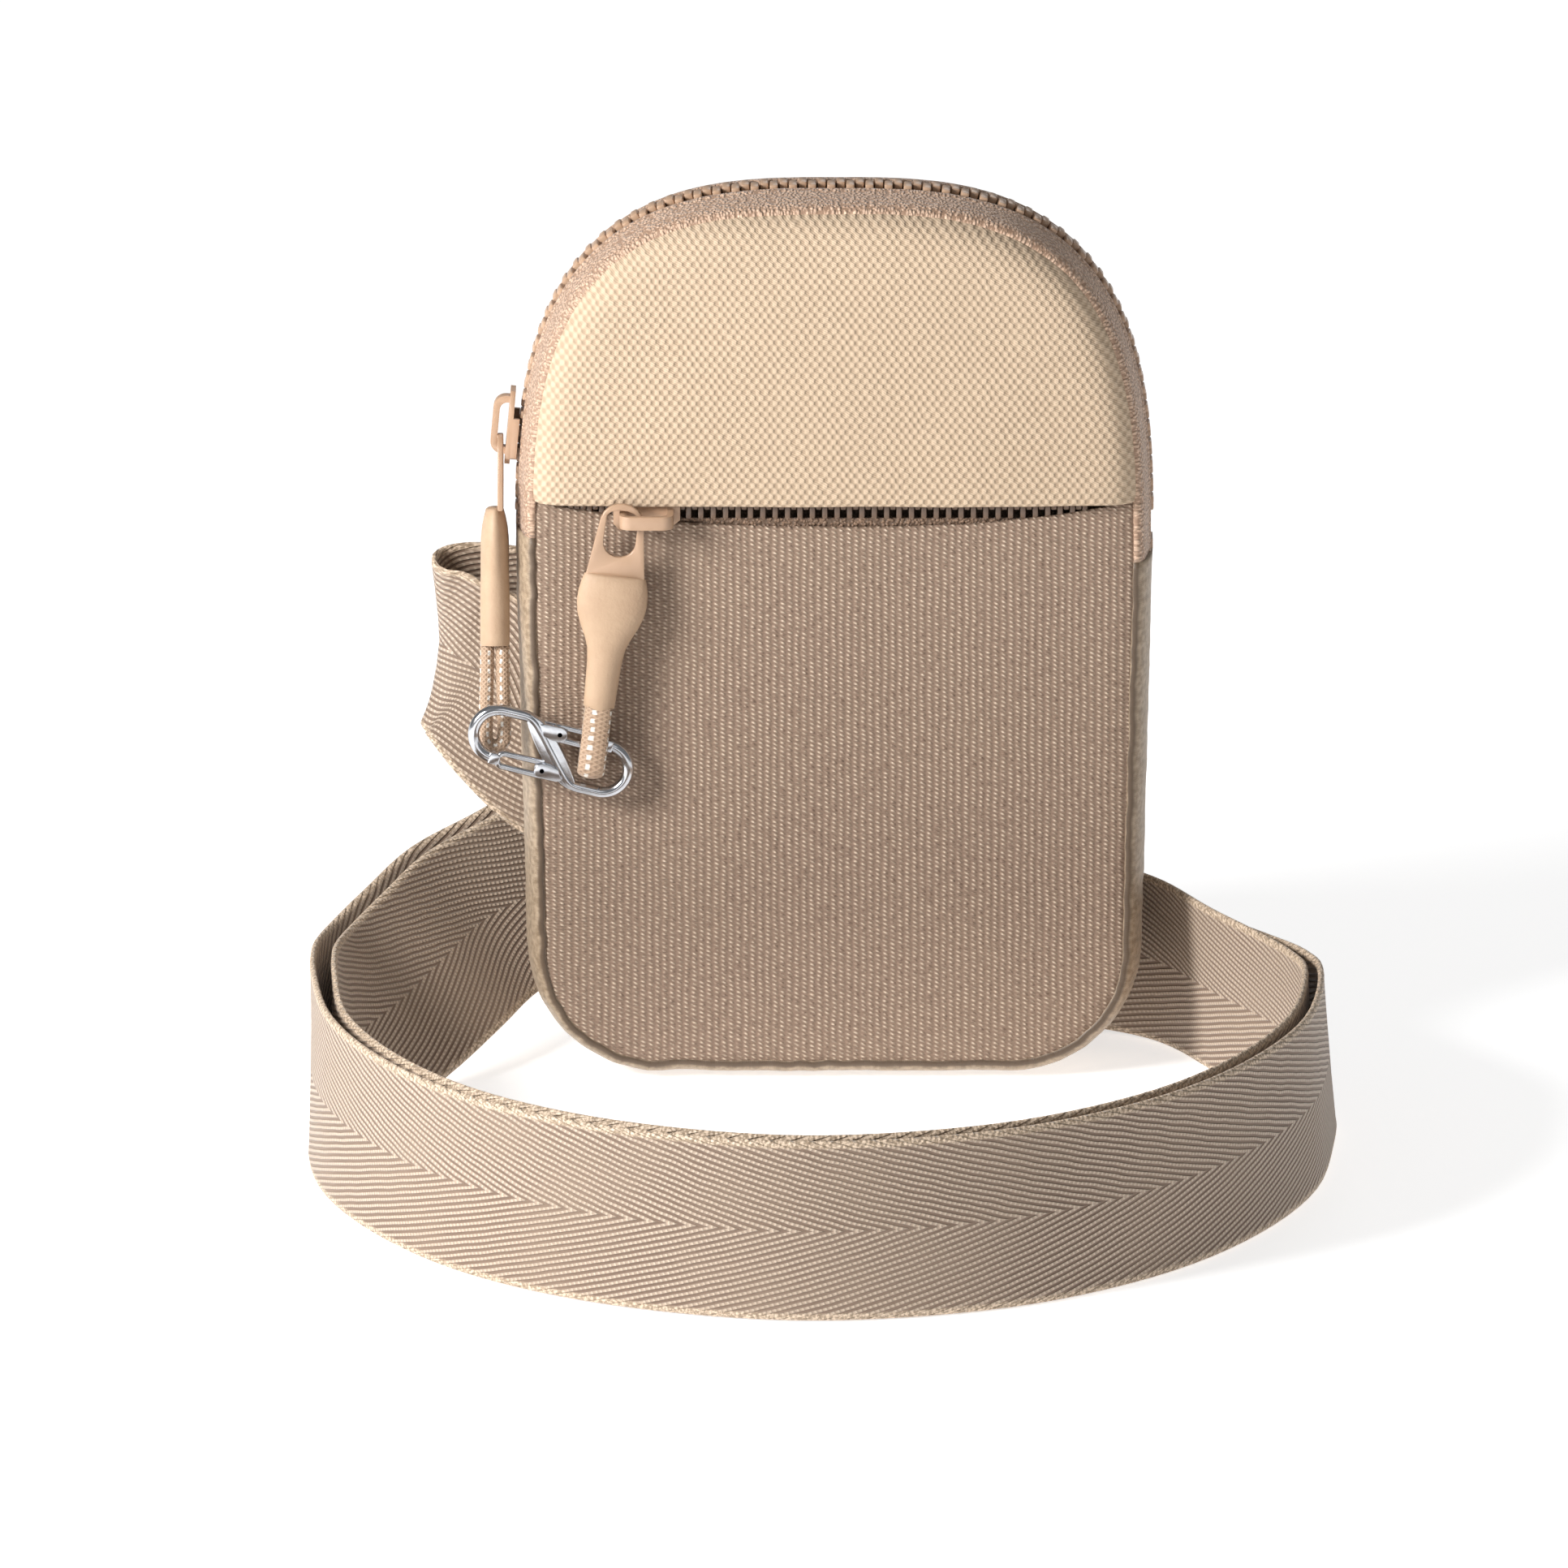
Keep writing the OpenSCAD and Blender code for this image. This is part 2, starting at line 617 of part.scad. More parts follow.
module strap_ring() {
    color("#c9cdd1") on_ring() {
        for (s = [-1, 1]) {
            translate([s * ring_half_w, -ring_half_l, 0]) rotate([-90, 0, 0])
                cylinder(r = ring_r, h = 2 * ring_half_l);
            translate([-ring_half_w, s * ring_half_l, 0]) rotate([0, 90, 0])
                cylinder(r = ring_r, h = 2 * ring_half_w);
            for (t = [-1, 1]) translate([s * ring_half_w, t * ring_half_l, 0]) sphere(ring_r);
        }
    }
}

// A short folded tab of webbing that holds the ring against the back panel
module ring_tab() {
    turn = ring_r + 0.2;
    t = 1;
    color("#a08a70") on_ring() translate([ring_half_w, web_w / 2, 0]) rotate([90, 0, 0])
        linear_extrude(web_w) {
            difference() {
                circle(turn + t);
                circle(turn);
                translate([0, -5]) square([5, 10]);
            }
            translate([0, turn]) square([16, t]);
            translate([0, -turn - t]) square([16, t]);
            translate([13, -turn]) square([3, 2 * turn]);
        }
}

// Bars of stitching over the strap's sewn end
module strap_stitching() {
    color("#8a735b") for (k = [0:3]) translate([-50 - 1.6 * k, 15.2 + stitch_r, 58.3 + 1.04 * k])
        rotate([0, 33, 0]) translate([0, 0, -10]) cylinder(r = stitch_r, h = 20);
}

front_upper_panel();
front_lower_panel();
pocket_backing();
front_stiffener();
back_panel();
back_stiffener();
back_lining();
inner_slip_pocket();
gusset();
seam_binding_front();
seam_binding_rear();
main_zip_tape_front();
main_zip_tape_rear();
main_zip_teeth_front();
main_zip_teeth_rear();
main_zip_stops();
pocket_zip_tape_upper();
pocket_zip_tape_lower();
pocket_zip_teeth_upper();
pocket_zip_teeth_lower();
pocket_zip_stops();
main_slider();
main_pull_tab();
main_pull_sleeve();
main_pull_cord();
pocket_slider();
pocket_pull_tab();
pocket_pull_sleeve();
pocket_pull_cord();
clip_body();
clip_gate_left();
clip_gate_right();
clip_gate_pins();
strap_main();
strap_return();
strap_glide();
strap_ring();
ring_tab();
strap_stitching();
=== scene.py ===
import json
from math import cos, exp, pi, radians, sin

import bmesh
import bpy
from mathutils import Matrix, Vector, kdtree, noise

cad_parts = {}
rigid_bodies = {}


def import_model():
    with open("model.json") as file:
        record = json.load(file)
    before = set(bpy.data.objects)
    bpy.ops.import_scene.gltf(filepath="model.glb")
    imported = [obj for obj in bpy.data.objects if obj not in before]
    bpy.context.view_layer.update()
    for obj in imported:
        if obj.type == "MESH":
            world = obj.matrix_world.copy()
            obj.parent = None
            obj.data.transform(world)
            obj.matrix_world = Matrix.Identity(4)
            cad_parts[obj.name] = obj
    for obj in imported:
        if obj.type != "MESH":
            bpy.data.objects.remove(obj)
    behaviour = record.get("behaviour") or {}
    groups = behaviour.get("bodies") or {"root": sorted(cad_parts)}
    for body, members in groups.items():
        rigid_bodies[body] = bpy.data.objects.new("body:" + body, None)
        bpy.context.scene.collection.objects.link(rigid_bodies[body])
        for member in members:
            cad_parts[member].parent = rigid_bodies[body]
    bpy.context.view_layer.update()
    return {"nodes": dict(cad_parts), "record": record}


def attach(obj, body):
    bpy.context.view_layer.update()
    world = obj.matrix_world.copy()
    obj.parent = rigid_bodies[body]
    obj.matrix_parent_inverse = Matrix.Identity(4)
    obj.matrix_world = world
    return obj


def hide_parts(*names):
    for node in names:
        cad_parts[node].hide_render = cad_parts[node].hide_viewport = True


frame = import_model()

MM = 0.001
nodes = frame["nodes"]
scene = bpy.context.scene

# ---- camera ----

LENS = 546
SENSOR = 36
CAMERA_AWAY = 5
LOOK_DOWN = radians(17)

camera_data = bpy.data.cameras.new("camera")
camera_data.lens = LENS
camera_data.sensor_width = SENSOR
camera = bpy.data.objects.new("camera", camera_data)
scene.collection.objects.link(camera)
scene.camera = camera
look_at = Vector((-0.0106, -0.020, 0.0676))
camera.location = look_at + CAMERA_AWAY * Vector((0, -cos(LOOK_DOWN), sin(LOOK_DOWN)))
camera.rotation_euler = (look_at - camera.location).to_track_quat("-Z", "Y").to_euler()


# ---- mesh helpers ----

def new_piece(name, points, faces, uvs=None, smooth=True):
    """A mesh object from points in millimetres; uvs holds one pair for each point."""
    mesh = bpy.data.meshes.new(name)
    mesh.from_pydata([Vector(p) * MM for p in points], [], faces)
    if uvs:
        layer = mesh.uv_layers.new(name="weave")
        for loop in mesh.loops:
            layer.data[loop.index].uv = uvs[loop.vertex_index]
    mesh.polygons.foreach_set("use_smooth", [smooth] * len(mesh.polygons))
    mesh.validate()
    piece = bpy.data.objects.new(name, mesh)
    scene.collection.objects.link(piece)
    return piece


def turn_outward(piece):
    """Faces of a closed shell point outwards."""
    shell = bmesh.new()
    shell.from_mesh(piece.data)
    bmesh.ops.recalc_face_normals(shell, faces=shell.faces)
    shell.to_mesh(piece.data)
    shell.free()
    return piece


def loft(name, rows, uv_rows, wrap_rows=False):
    """A closed shell through rings of points: each row is one closed section."""
    count, size = len(rows), len(rows[0])
    points = [p for row in rows for p in row]
    uvs = [uv for row in uv_rows for uv in row]
    faces = []
    for k in range(count if wrap_rows else count - 1):
        after = (k + 1) % count
        for j in range(size):
            near, far = j, (j + 1) % size
            faces.append((k * size + near, k * size + far,
                          after * size + far, after * size + near))
    if not wrap_rows:
        faces.append(tuple(range(size)))
        faces.append(tuple(range((count - 1) * size, count * size)))
    return turn_outward(new_piece(name, points, faces, uvs))


def only(piece):
    """Selects one piece and makes it active."""
    bpy.ops.object.select_all(action="DESELECT")
    piece.select_set(True)
    bpy.context.view_layer.objects.active = piece


def apply_modifier(piece, kind, **settings):
    only(piece)
    modifier = piece.modifiers.new(kind, kind)
    for key, value in settings.items():
        setattr(modifier, key, value)
    bpy.ops.object.modifier_apply(modifier=modifier.name)


def smooth_by_angle(piece, angle=35):
    only(piece)
    bpy.ops.object.shade_smooth_by_angle(angle=radians(angle))


def catmull(points, parts):
    """A smooth run of points through the given ones; each may have any number of values."""
    def at(k):
        return points[min(max(k, 0), len(points) - 1)]
    smooth = []
    for k in range(len(points) - 1):
        a, b, c, d = at(k - 1), at(k), at(k + 1), at(k + 2)
        for n in range(parts):
            t = n / parts
            smooth.append([0.5 * (2 * q + (r - p) * t + (2 * p - 5 * q + 4 * r - s) * t * t
                                  + (3 * q - p - 3 * r + s) * t ** 3)
                           for p, q, r, s in zip(a, b, c, d)])
    smooth.append(list(points[-1]))
    return smooth


# ---- strap ----

WEB_W = 38
WEB_T = 1.2
STRAP_MAIN_ROUTE = [
    (-48, 14, 57, 0), (-58, 14.4, 63.5, 0), (-66, 15.4, 71, 0), (-74, 17, 80.5, 0),
    (-80, 19, 84.5, 0), (-83, 22.5, 86.5, 0), (-81, 26, 87.5, 0), (-74, 27.6, 87.5, 0),
    (-63, 27.6, 84.4, 0), (-50, 26.6, 71.5, 0), (-36, 25, 60.5, 0), (-22, 24, 50.5, 0),
    (-8, 23.6, 41.5, 0), (10, 23.6, 32.5, 0), (30, 24.5, 25.5, 0), (50, 25.5, 21, 6),
    (65, 23, 19, 18), (76, 14, 18, 23), (86, -5, 18, 23), (95, -24, 18.5, 16),
    (101.5, -40.7, 19.05, 9), (103, -56, 19.05, 4), (99, -88.3, 19.05, 3),
    (87, -117.2, 19.05, 3), (69, -141.7, 19.05, 3), (45, -160.7, 19.05, 3),
    (20, -170.7, 19.05, 3), (-6, -174, 19.05, 3), (-31, -169.5, 19.05, 3),
    (-56, -158.4, 19.05, 3), (-78, -140.6, 19.05, 3), (-95, -116.1, 19.05, 3),
    (-106, -87.2, 19.05, 3), (-109, -56, 19.05, 0), (-104.4, -35.3, 18.4, -16),
    (-96.2, -16, 19, -34), (-87, 2.4, 22.5, -42), (-77.9, 21.6, 25.5, -42),
    (-64.8, 34, 29, -38), (-50, 45.8, 34, -28), (-30.5, 52.2, 41.5, -10), (-12, 52, 54, 0),
    (4, 42, 67.5, 0), (14, 30, 76, 0), (21, 25, 82.2, 0), (27.4, 23.2, 87.6, 0)]
STRAP_RETURN_ROUTE = [
    (22.2, 17.6, 82.2, 0), (16.5, 19.8, 77.3, 0), (8.5, 26.6, 70, 0), (1, 33.8, 63.5, 0),
    (-12, 45.6, 52.5, 0), (-30, 47, 41.5, -10), (-48, 41, 34, -28), (-62, 30, 29, -38),
    (-74.5, 18, 25.5, -42), (-83, 0, 22.5, -42), (-92, -18, 19, -34), (-100.1, -37, 18.4, -16),
    (-104.6, -56, 19.05, 0), (-102.6, -86.1, 19.05, 3), (-92, -113.9, 19.05, 3),
    (-75.6, -137.7, 19.05, 3), (-54.4, -154.9, 19.05, 3), (-30, -165.7, 19.05, 3),
    (-6, -170, 19.05, 3), (19, -166.7, 19.05, 3), (43.2, -157.1, 19.05, 3),
    (66.6, -138.8, 19.05, 3), (84, -115, 19.05, 3), (95.6, -86.7, 19.05, 3),
    (99.4, -56, 19.05, 3), (97, -42.1, 19.05, 4), (90, -27.5, 19.05, 5),
    (80.5, -11, 19.05, 5), (71, 8, 19.05, 5), (61.5, 17, 19.5, 4), (45, 21.5, 21.5, 0),
    (30, 20.6, 26, 0), (12, 20, 33, 0), (-6, 19.6, 42, 0)]
ROUTE_PARTS = 5
# Places across the webbing, from one selvage to the other, and its half thickness there
ACROSS = [(-1, 0), (-0.985, 0.42), (-0.94, 0.56), (-0.88, 0.5), (-0.6, 0.5), (-0.3, 0.5), (0, 0.5),
          (0.3, 0.5), (0.6, 0.5), (0.88, 0.5), (0.94, 0.56), (0.985, 0.42), (1, 0)]


def ribbon(name, route, lean_side):
    """A flat woven band swept on edge along a route of x, y, z and lean in degrees.
    Its map holds centimetres, across the band from its middle and along it."""
    path = catmull(route, ROUTE_PARTS)
    rows, uv_rows, length = [], [], 0
    section = ACROSS + [(a, -h) for a, h in reversed(ACROSS[1:-1])]
    for k, spot in enumerate(path):
        here = Vector(spot[:3])
        heading = (Vector(path[min(k + 1, len(path) - 1)][:3])
                   - Vector(path[max(k - 1, 0)][:3])).normalized()
        up = (Vector((0, 0, 1)) - heading * heading.z).normalized()
        out = up.cross(heading)
        lean = radians(lean_side * spot[3])
        across = up * cos(lean) + out * sin(lean)
        through = across.cross(heading)
        if k:
            length += (here - Vector(path[k - 1][:3])).length
        rows.append([here + across * a * WEB_W / 2 + through * h * WEB_T for a, h in section])
        uv_rows.append([(a * WEB_W / 20, length / 10) for a, _ in section])
    return loft(name, rows, uv_rows), [Vector(p[:3]) * MM for p in path], length * MM


strap, strap_path, strap_length = ribbon("strap_outer_layer", STRAP_MAIN_ROUTE, -1)
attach(strap, "pouch")
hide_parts("strap_main")
strap_inner, inner_path, inner_length = ribbon("strap_inner_layer", STRAP_RETURN_ROUTE, 1)
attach(strap_inner, "pouch")
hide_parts("strap_return")

# ---- outline of the pouch, in millimetres ----

HALF_W = 67
POUCH_H = 193.5
ARCH_Z = 114
CORNER_R = 28
SEAM_Y = 12.6
SEAM_INSET = 3.5
HEM_Z = 128
EDGE_Z = 127
EDGE_SAG = 5.8
LEFT_END_ANGLE = 178.99
STEP = 1.6
STEP_FREE = 1.8


def arch_at(angle):
    c, s = cos(radians(angle)), sin(radians(angle))
    return Vector(((HALF_W if c > 0 else -HALF_W) * abs(c) ** (2 / 3),
                   ARCH_Z + (POUCH_H - ARCH_Z) * max(s, 0) ** (2 / 3)))


def even_steps(points, step):
    """The same line with its points a steady step apart."""
    total = sum((b - a).length for a, b in zip(points, points[1:]))
    count = max(2, round(total / step))
    spaced, walked, target = [points[0].copy()], 0, total / count
    for a, b in zip(points, points[1:]):
        span = (b - a).length
        while span and walked + span >= target - 1e-9 and len(spaced) < count:
            spaced.append(a.lerp(b, (target - walked) / span))
            target += total / count
        walked += span
    return spaced + [points[-1].copy()]


def contour():
    """The widest outline, as three lists of (point, outward normal) pairs: the gusset's part,
    from the chain's left end round the base to its right end, the arch part back over the top,
    and the whole."""
    left = [arch_at(LEFT_END_ANGLE + (180 - LEFT_END_ANGLE) * (n / 12) ** 1.5) for n in range(12)]
    low = HALF_W - 2
    down = [Vector((-HALF_W, ARCH_Z)), Vector((-HALF_W + 1, (ARCH_Z + CORNER_R) / 2))]
    corners = [Vector((side * (low - CORNER_R + CORNER_R * cos(radians(a))),
                       CORNER_R - CORNER_R * sin(radians(a))))
               for side, angles in ((-1, range(0, 91, 6)), (1, range(90, -1, -6)))
               for a in angles]
    up = [Vector((HALF_W - 1, (ARCH_Z + CORNER_R) / 2)), Vector((HALF_W, ARCH_Z))]
    band = even_steps(left + down + corners + up, STEP)
    arch = even_steps([arch_at(LEFT_END_ANGLE * (3 * t * t - 2 * t ** 3))
                       for t in (n / 240 for n in range(241))], STEP)
    whole = band + arch[1:-1]
    size = len(whole)
    outward = []
    for k in range(size):
        way = whole[(k + 2) % size] - whole[k - 2]
        outward.append(Vector((way.y, -way.x)).normalized())
    pairs = list(zip(whole, outward))
    return pairs[:len(band)], pairs[len(band) - 1:] + pairs[:1], pairs


band_line, arch_line, whole_line = contour()


def inset_point(pair, inset):
    return pair[0] - pair[1] * inset


def soft_noise(x, z, size, seed=0.0):
    """Smooth noise from -1 to 1 with features of a size in millimetres."""
    return noise.noise(Vector((x / size, z / size, seed)))


def nearness(segments):
    """A quick distance to a line given as segments; far away from everything if there are none."""
    marks = [a.lerp(b, t) for a, b in segments for t in (0, 0.25, 0.5, 0.75, 1)]
    if not marks:
        return lambda p: 99
    tree = kdtree.KDTree(len(marks))
    for k, mark in enumerate(marks):
        tree.insert((mark.x, mark.y, 0), k)
    tree.balance()
    return lambda p: tree.find((p.x, p.y, 0))[2]


# ---- sewn panels ----

RINGS = [0, 0.07, 0.14, 0.21, 0.28, 0.35, 0.42, 0.48, 0.54, 0.6, 0.65, 0.7, 0.74, 0.78, 0.82, 0.85,
         0.88, 0.905, 0.925, 0.943, 0.958, 0.97, 0.98, 0.987, 0.993, 1]
ROUND_ANGLES = [30, 60, 90, 120, 150, 180]


def panel(name, boundary, sewn, centre, level, thick):
    """A soft panel: rings from its centre out to a rounded edge and back along its inside.
    boundary is a closed line, sewn says which of its points are in the seam, and
    level(x, z, distance to the seam, distance to the free edge) is the depth of its face."""
    size = len(boundary)
    sides = [(boundary[k], boundary[(k + 1) % size], sewn[k] and sewn[(k + 1) % size])
             for k in range(size)]
    to_seam = nearness([(a, b) for a, b, in_seam in sides if in_seam])
    to_edge = nearness([(a, b) for a, b, in_seam in sides if not in_seam])
    outward = []
    for k in range(size):
        way = boundary[(k + 1) % size] - boundary[k - 1]
        outward.append(Vector((way.y, -way.x)).normalized())
    rows = []
    for t in RINGS[1:]:
        row = []
        for p in boundary:
            q = centre.lerp(p, t)
            row.append((q.x, level(q.x, q.y, to_seam(q), to_edge(q)), q.y))
        rows.append(row)
    rim = rows[-1]
    r = thick / 2
    for angle in ROUND_ANGLES:
        grow, back = r * sin(radians(angle)), r * (1 - cos(radians(angle)))
        rows.append([(x + o.x * grow, y + back, z + o.y * grow)
                     for (x, y, z), o in zip(rim, outward)])
    for t in (0.97, 0.9, 0.75, 0.5, 0.2):
        ring = RINGS.index(min(RINGS, key=lambda f: abs(f - t)))
        rows.append([(x, y + thick, z) for x, y, z in rows[ring - 1]])
    points = [p for row in rows for p in row]
    faces = [(k * size + j, k * size + (j + 1) % size,
              (k + 1) * size + (j + 1) % size, (k + 1) * size + j)
             for k in range(len(rows) - 1) for j in range(size)]
    first, last = len(points), len(points) + 1
    middle = level(centre.x, centre.y, 60, 60)
    points += [(centre.x, middle, centre.y), (centre.x, middle + thick, centre.y)]
    end = (len(rows) - 1) * size
    for j in range(size):
        faces.append((first, (j + 1) % size, j))
        faces.append((last, end + j, end + (j + 1) % size))
    return turn_outward(new_piece(name, points, faces))


def free_line(a, b, rise):
    """Points between two ends of a free edge, which follow a rise in height."""
    count = round(abs(b.x - a.x) / STEP_FREE)
    return [Vector((a.x + (b.x - a.x) * n / count, rise(a.x + (b.x - a.x) * n / count)))
            for n in range(1, count)]


EDGE_REACH = HALF_W - SEAM_INSET - 0.5
TUCK = SEAM_INSET - 0.3
CANVAS_FRONT = -16.7
CANVAS_EDGE = -12.1
CANVAS_PAD = 1.6
POCKET_FRONT = -13
POCKET_EDGE = -11.9
POCKET_CLOTH = 1.1
BACK_CLOTH = 1.0
BACK_EDGE = 11.9


def sagging_edge(x):
    return EDGE_Z - EDGE_SAG * (1 - min(1, abs(x) / EDGE_REACH) ** 2.6)


def smooth_step(x, low, high):
    t = max(0, min(1, (x - low) / (high - low)))
    return t * t * (3 - 2 * t)


def canvas_level(x, z, seam, free):
    rise = (CANVAS_FRONT - CANVAS_EDGE) * (1 - exp(-seam / 2.2))
    crown = -0.6 * smooth_step(seam, 4, 40)
    hem_roll = 0.25 * exp(-free / 1.2)
    pucker = 0.16 * exp(-seam / 5) * soft_noise(x * 2.2, z * 2.2, 7, 3.1)
    return CANVAS_EDGE + rise + crown + hem_roll + pucker + 0.22 * soft_noise(x, z, 21, 1.7)


def pocket_level(x, z, seam, free):
    rise = (POCKET_FRONT - POCKET_EDGE) * (1 - exp(-seam / 1.3))
    crown = -0.35 * smooth_step(seam, 14, 50) * smooth_step(free, 8, 45)
    lip = 0.2 * exp(-free / 1.5)
    pucker = 0.18 * exp(-seam / 5) * soft_noise(x * 2.4, z * 2.4, 7, 8.3)
    calm = 0.25 + 0.75 * smooth_step(x, -40, -10)
    return POCKET_EDGE + rise + crown + lip + pucker + calm * 0.22 * soft_noise(x, z, 26, 5.2)


upper_sewn = [inset_point(pair, TUCK) for pair in whole_line if pair[0].y > HEM_Z + 0.4]
right_most = min(range(len(upper_sewn)), key=lambda k: (upper_sewn[k].x < 0, upper_sewn[k].y))
upper_sewn = upper_sewn[right_most:] + upper_sewn[:right_most]
upper_sewn[0].y = upper_sewn[-1].y = HEM_Z
upper_free = free_line(upper_sewn[-1], upper_sewn[0],
                       lambda x: HEM_Z + 0.15 * soft_noise(x, 0, 15))
canvas_panel = panel("canvas_panel", upper_sewn + upper_free,
                     [True] * len(upper_sewn) + [False] * len(upper_free),
                     Vector((0, 155)), canvas_level, CANVAS_PAD)

lower_sewn = [inset_point(pair, TUCK) for pair in whole_line if pair[0].y <= EDGE_Z]
left_most = min(range(len(lower_sewn)), key=lambda k: (lower_sewn[k].x > 0, -lower_sewn[k].y))
lower_sewn = lower_sewn[left_most:] + lower_sewn[:left_most]
lower_free = free_line(lower_sewn[-1], lower_sewn[0],
                       lambda x: sagging_edge(x) + 0.25 * soft_noise(x, 0, 11, 2))
pocket_panel = panel("pocket_panel", lower_sewn + lower_free,
                     [True] * len(lower_sewn) + [False] * len(lower_free),
                     Vector((0, 62)), pocket_level, POCKET_CLOTH)


def back_level(x, z, seam, _):
    rise = 1 - exp(-seam / 1.8)
    crown = 0.25 * smooth_step(seam, 4, 30)
    return -(BACK_EDGE + rise + crown + 0.1 * soft_noise(x, z, 30, 9))


back_cover = panel("back_cover", [inset_point(pair, TUCK) for pair in whole_line[::2]],
                   [True] * len(whole_line[::2]), Vector((0, 95)), back_level, BACK_CLOTH)
for vertex in back_cover.data.vertices:
    vertex.co.y = -vertex.co.y
turn_outward(back_cover)

for piece, stands_for, finish in (
        (canvas_panel, ("front_upper_panel", "front_stiffener"), "canvas"),
        (pocket_panel, ("front_lower_panel",), "ribbed_fabric"),
        (back_cover, ("back_panel", "back_stiffener"), "ribbed_fabric")):
    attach(piece, "pouch")
    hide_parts(*stands_for)

# ---- bands swept round the outline ----


def swept_band(name, line, outer, inner, wrinkle=None):
    """A closed band along part of the outline. outer and inner give (depth, inset) places."""
    rows, uv_rows, length = [], [], 0
    section = outer + inner[::-1]
    for k, (p, n) in enumerate(line):
        if k:
            length += (p - line[k - 1][0]).length
        row = []
        for j, (y, inset) in enumerate(section):
            lift = wrinkle(length, y) if wrinkle and j < len(outer) else 0
            q = p - n * (inset - lift)
            row.append((q.x, y, q.y))
        rows.append(row)
        uv_rows.append([(y / 10, length / 10) for y, _ in section])
    return loft(name, rows, uv_rows)


def gusset_wrinkle(s, y):
    near_seam = exp(-(SEAM_Y - abs(y)) / 4)
    ridge = noise.noise(Vector((s / 3.2, y / 16, 4.4)))
    soft = noise.noise(Vector((s / 17, y / 24, 7.7)))
    return (0.12 + 0.3 * near_seam) * ridge + 0.22 * soft


# Depth and inset of each place across the gusset, from the front seam to the rear one
gusset_places = [(-12.9, 4.0), (-12.8, 3.2), (-12.3, 2.45), (-11.5, 1.9), (-10.3, 1.35),
                 (-8.8, 0.85), (-7, 0.45), (-4.5, 0.12), (-2, 0), (2, 0), (4.5, 0.12),
                 (7, 0.45), (8.8, 0.9), (10.3, 1.5), (11.4, 2.2), (12.1, 3.0), (12.4, 4.0)]
gusset_inside = [(-11.7, 4.7), (-8, 2.2), (-3, 1.5), (3, 1.5), (8, 2.2), (11.2, 4.7)]
gusset_band = swept_band("gusset_band", band_line, gusset_places, gusset_inside,
                         gusset_wrinkle)

TAPE_FRONT = [(-12.9, 4.0), (-12.7, 3.1), (-12.1, 2.45), (-11.2, 2.0), (-10.1, 1.7),
              (-8.8, 1.45), (-7.2, 1.15), (-5.6, 0.95), (-4.8, 0.75), (-4.3, 0.45), (-3.7, 0.4),
              (-3.1, 0.8)]
TAPE_INSIDE = [(-11.8, 4.5), (-9, 2.5), (-6, 1.8), (-3.1, 1.6)]


def tape_wrinkle(s, y):
    return 0.07 * noise.noise(Vector((s / 4, y / 5, 2.2)))


def to_rear(places):
    """The same places on the rear tape, whose seam lies half a millimetre less deep."""
    return [(-y - 0.5 * (y < -8), inset) for y, inset in places]


front_tape = swept_band("zip_tape_front", arch_line, TAPE_FRONT, TAPE_INSIDE, tape_wrinkle)
rear_tape = swept_band("zip_tape_rear", arch_line, to_rear(TAPE_FRONT), to_rear(TAPE_INSIDE),
                       tape_wrinkle)
for piece, stands_for, finish in ((gusset_band, "gusset", "satin_fabric"),
                                  (front_tape, "main_zip_tape_front", "zip_tape"),
                                  (rear_tape, "main_zip_tape_rear", "zip_tape")):
    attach(piece, "pouch")
    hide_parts(stands_for)

# ---- zip teeth ----


def bevelled_block(size, bevel):
    """A mesh of one rounded block, modelled from a cube and centred on the origin."""
    bpy.ops.object.select_all(action="DESELECT")
    bpy.ops.mesh.primitive_cube_add(size=1, location=(0, 0, 0))
    block = bpy.context.object
    bpy.ops.object.mode_set(mode="EDIT")
    bpy.ops.mesh.select_all(action="SELECT")
    bpy.ops.transform.resize(value=[s * MM for s in size])
    bpy.ops.mesh.bevel(offset=bevel * MM, segments=2, affect="EDGES")
    bpy.ops.object.mode_set(mode="OBJECT")
    mesh = block.data
    bpy.data.objects.remove(block)
    return mesh


def copies(name, part, places):
    """One piece made of copies of a part, each put in place by a matrix in millimetres."""
    joined = bmesh.new()
    for place in places:
        moved = place.copy()
        moved.translation = place.translation * MM
        part.transform(moved)
        joined.from_mesh(part)
        part.transform(moved.inverted())
    mesh = bpy.data.meshes.new(name)
    joined.to_mesh(mesh)
    joined.free()
    piece = bpy.data.objects.new(name, mesh)
    scene.collection.objects.link(piece)
    smooth_by_angle(piece)
    return piece


def chain_places(first, pitch, count, y, inset):
    """Places along the main chain, with X along it, Y across it and Z out of the tape, and the
    length of the chain's line."""
    line = [inset_point(pair, inset) for pair in reversed(arch_line)]
    lengths = [0]
    for a, b in zip(line, line[1:]):
        lengths.append(lengths[-1] + (b - a).length)
    places = []
    for n in range(count):
        s = first + n * pitch
        k = max(j for j in range(len(line) - 1) if lengths[j] <= s)
        way = (line[k + 1] - line[k]).normalized()
        p = line[k].lerp(line[k + 1], (s - lengths[k]) / (lengths[k + 1] - lengths[k]))
        frame_axes = Matrix(((way.x, 0, -way.y, p.x), (0, 1, 0, y), (way.y, 0, way.x, p.y),
                             (0, 0, 0, 1)))
        places.append(frame_axes)
    return places, lengths[-1]


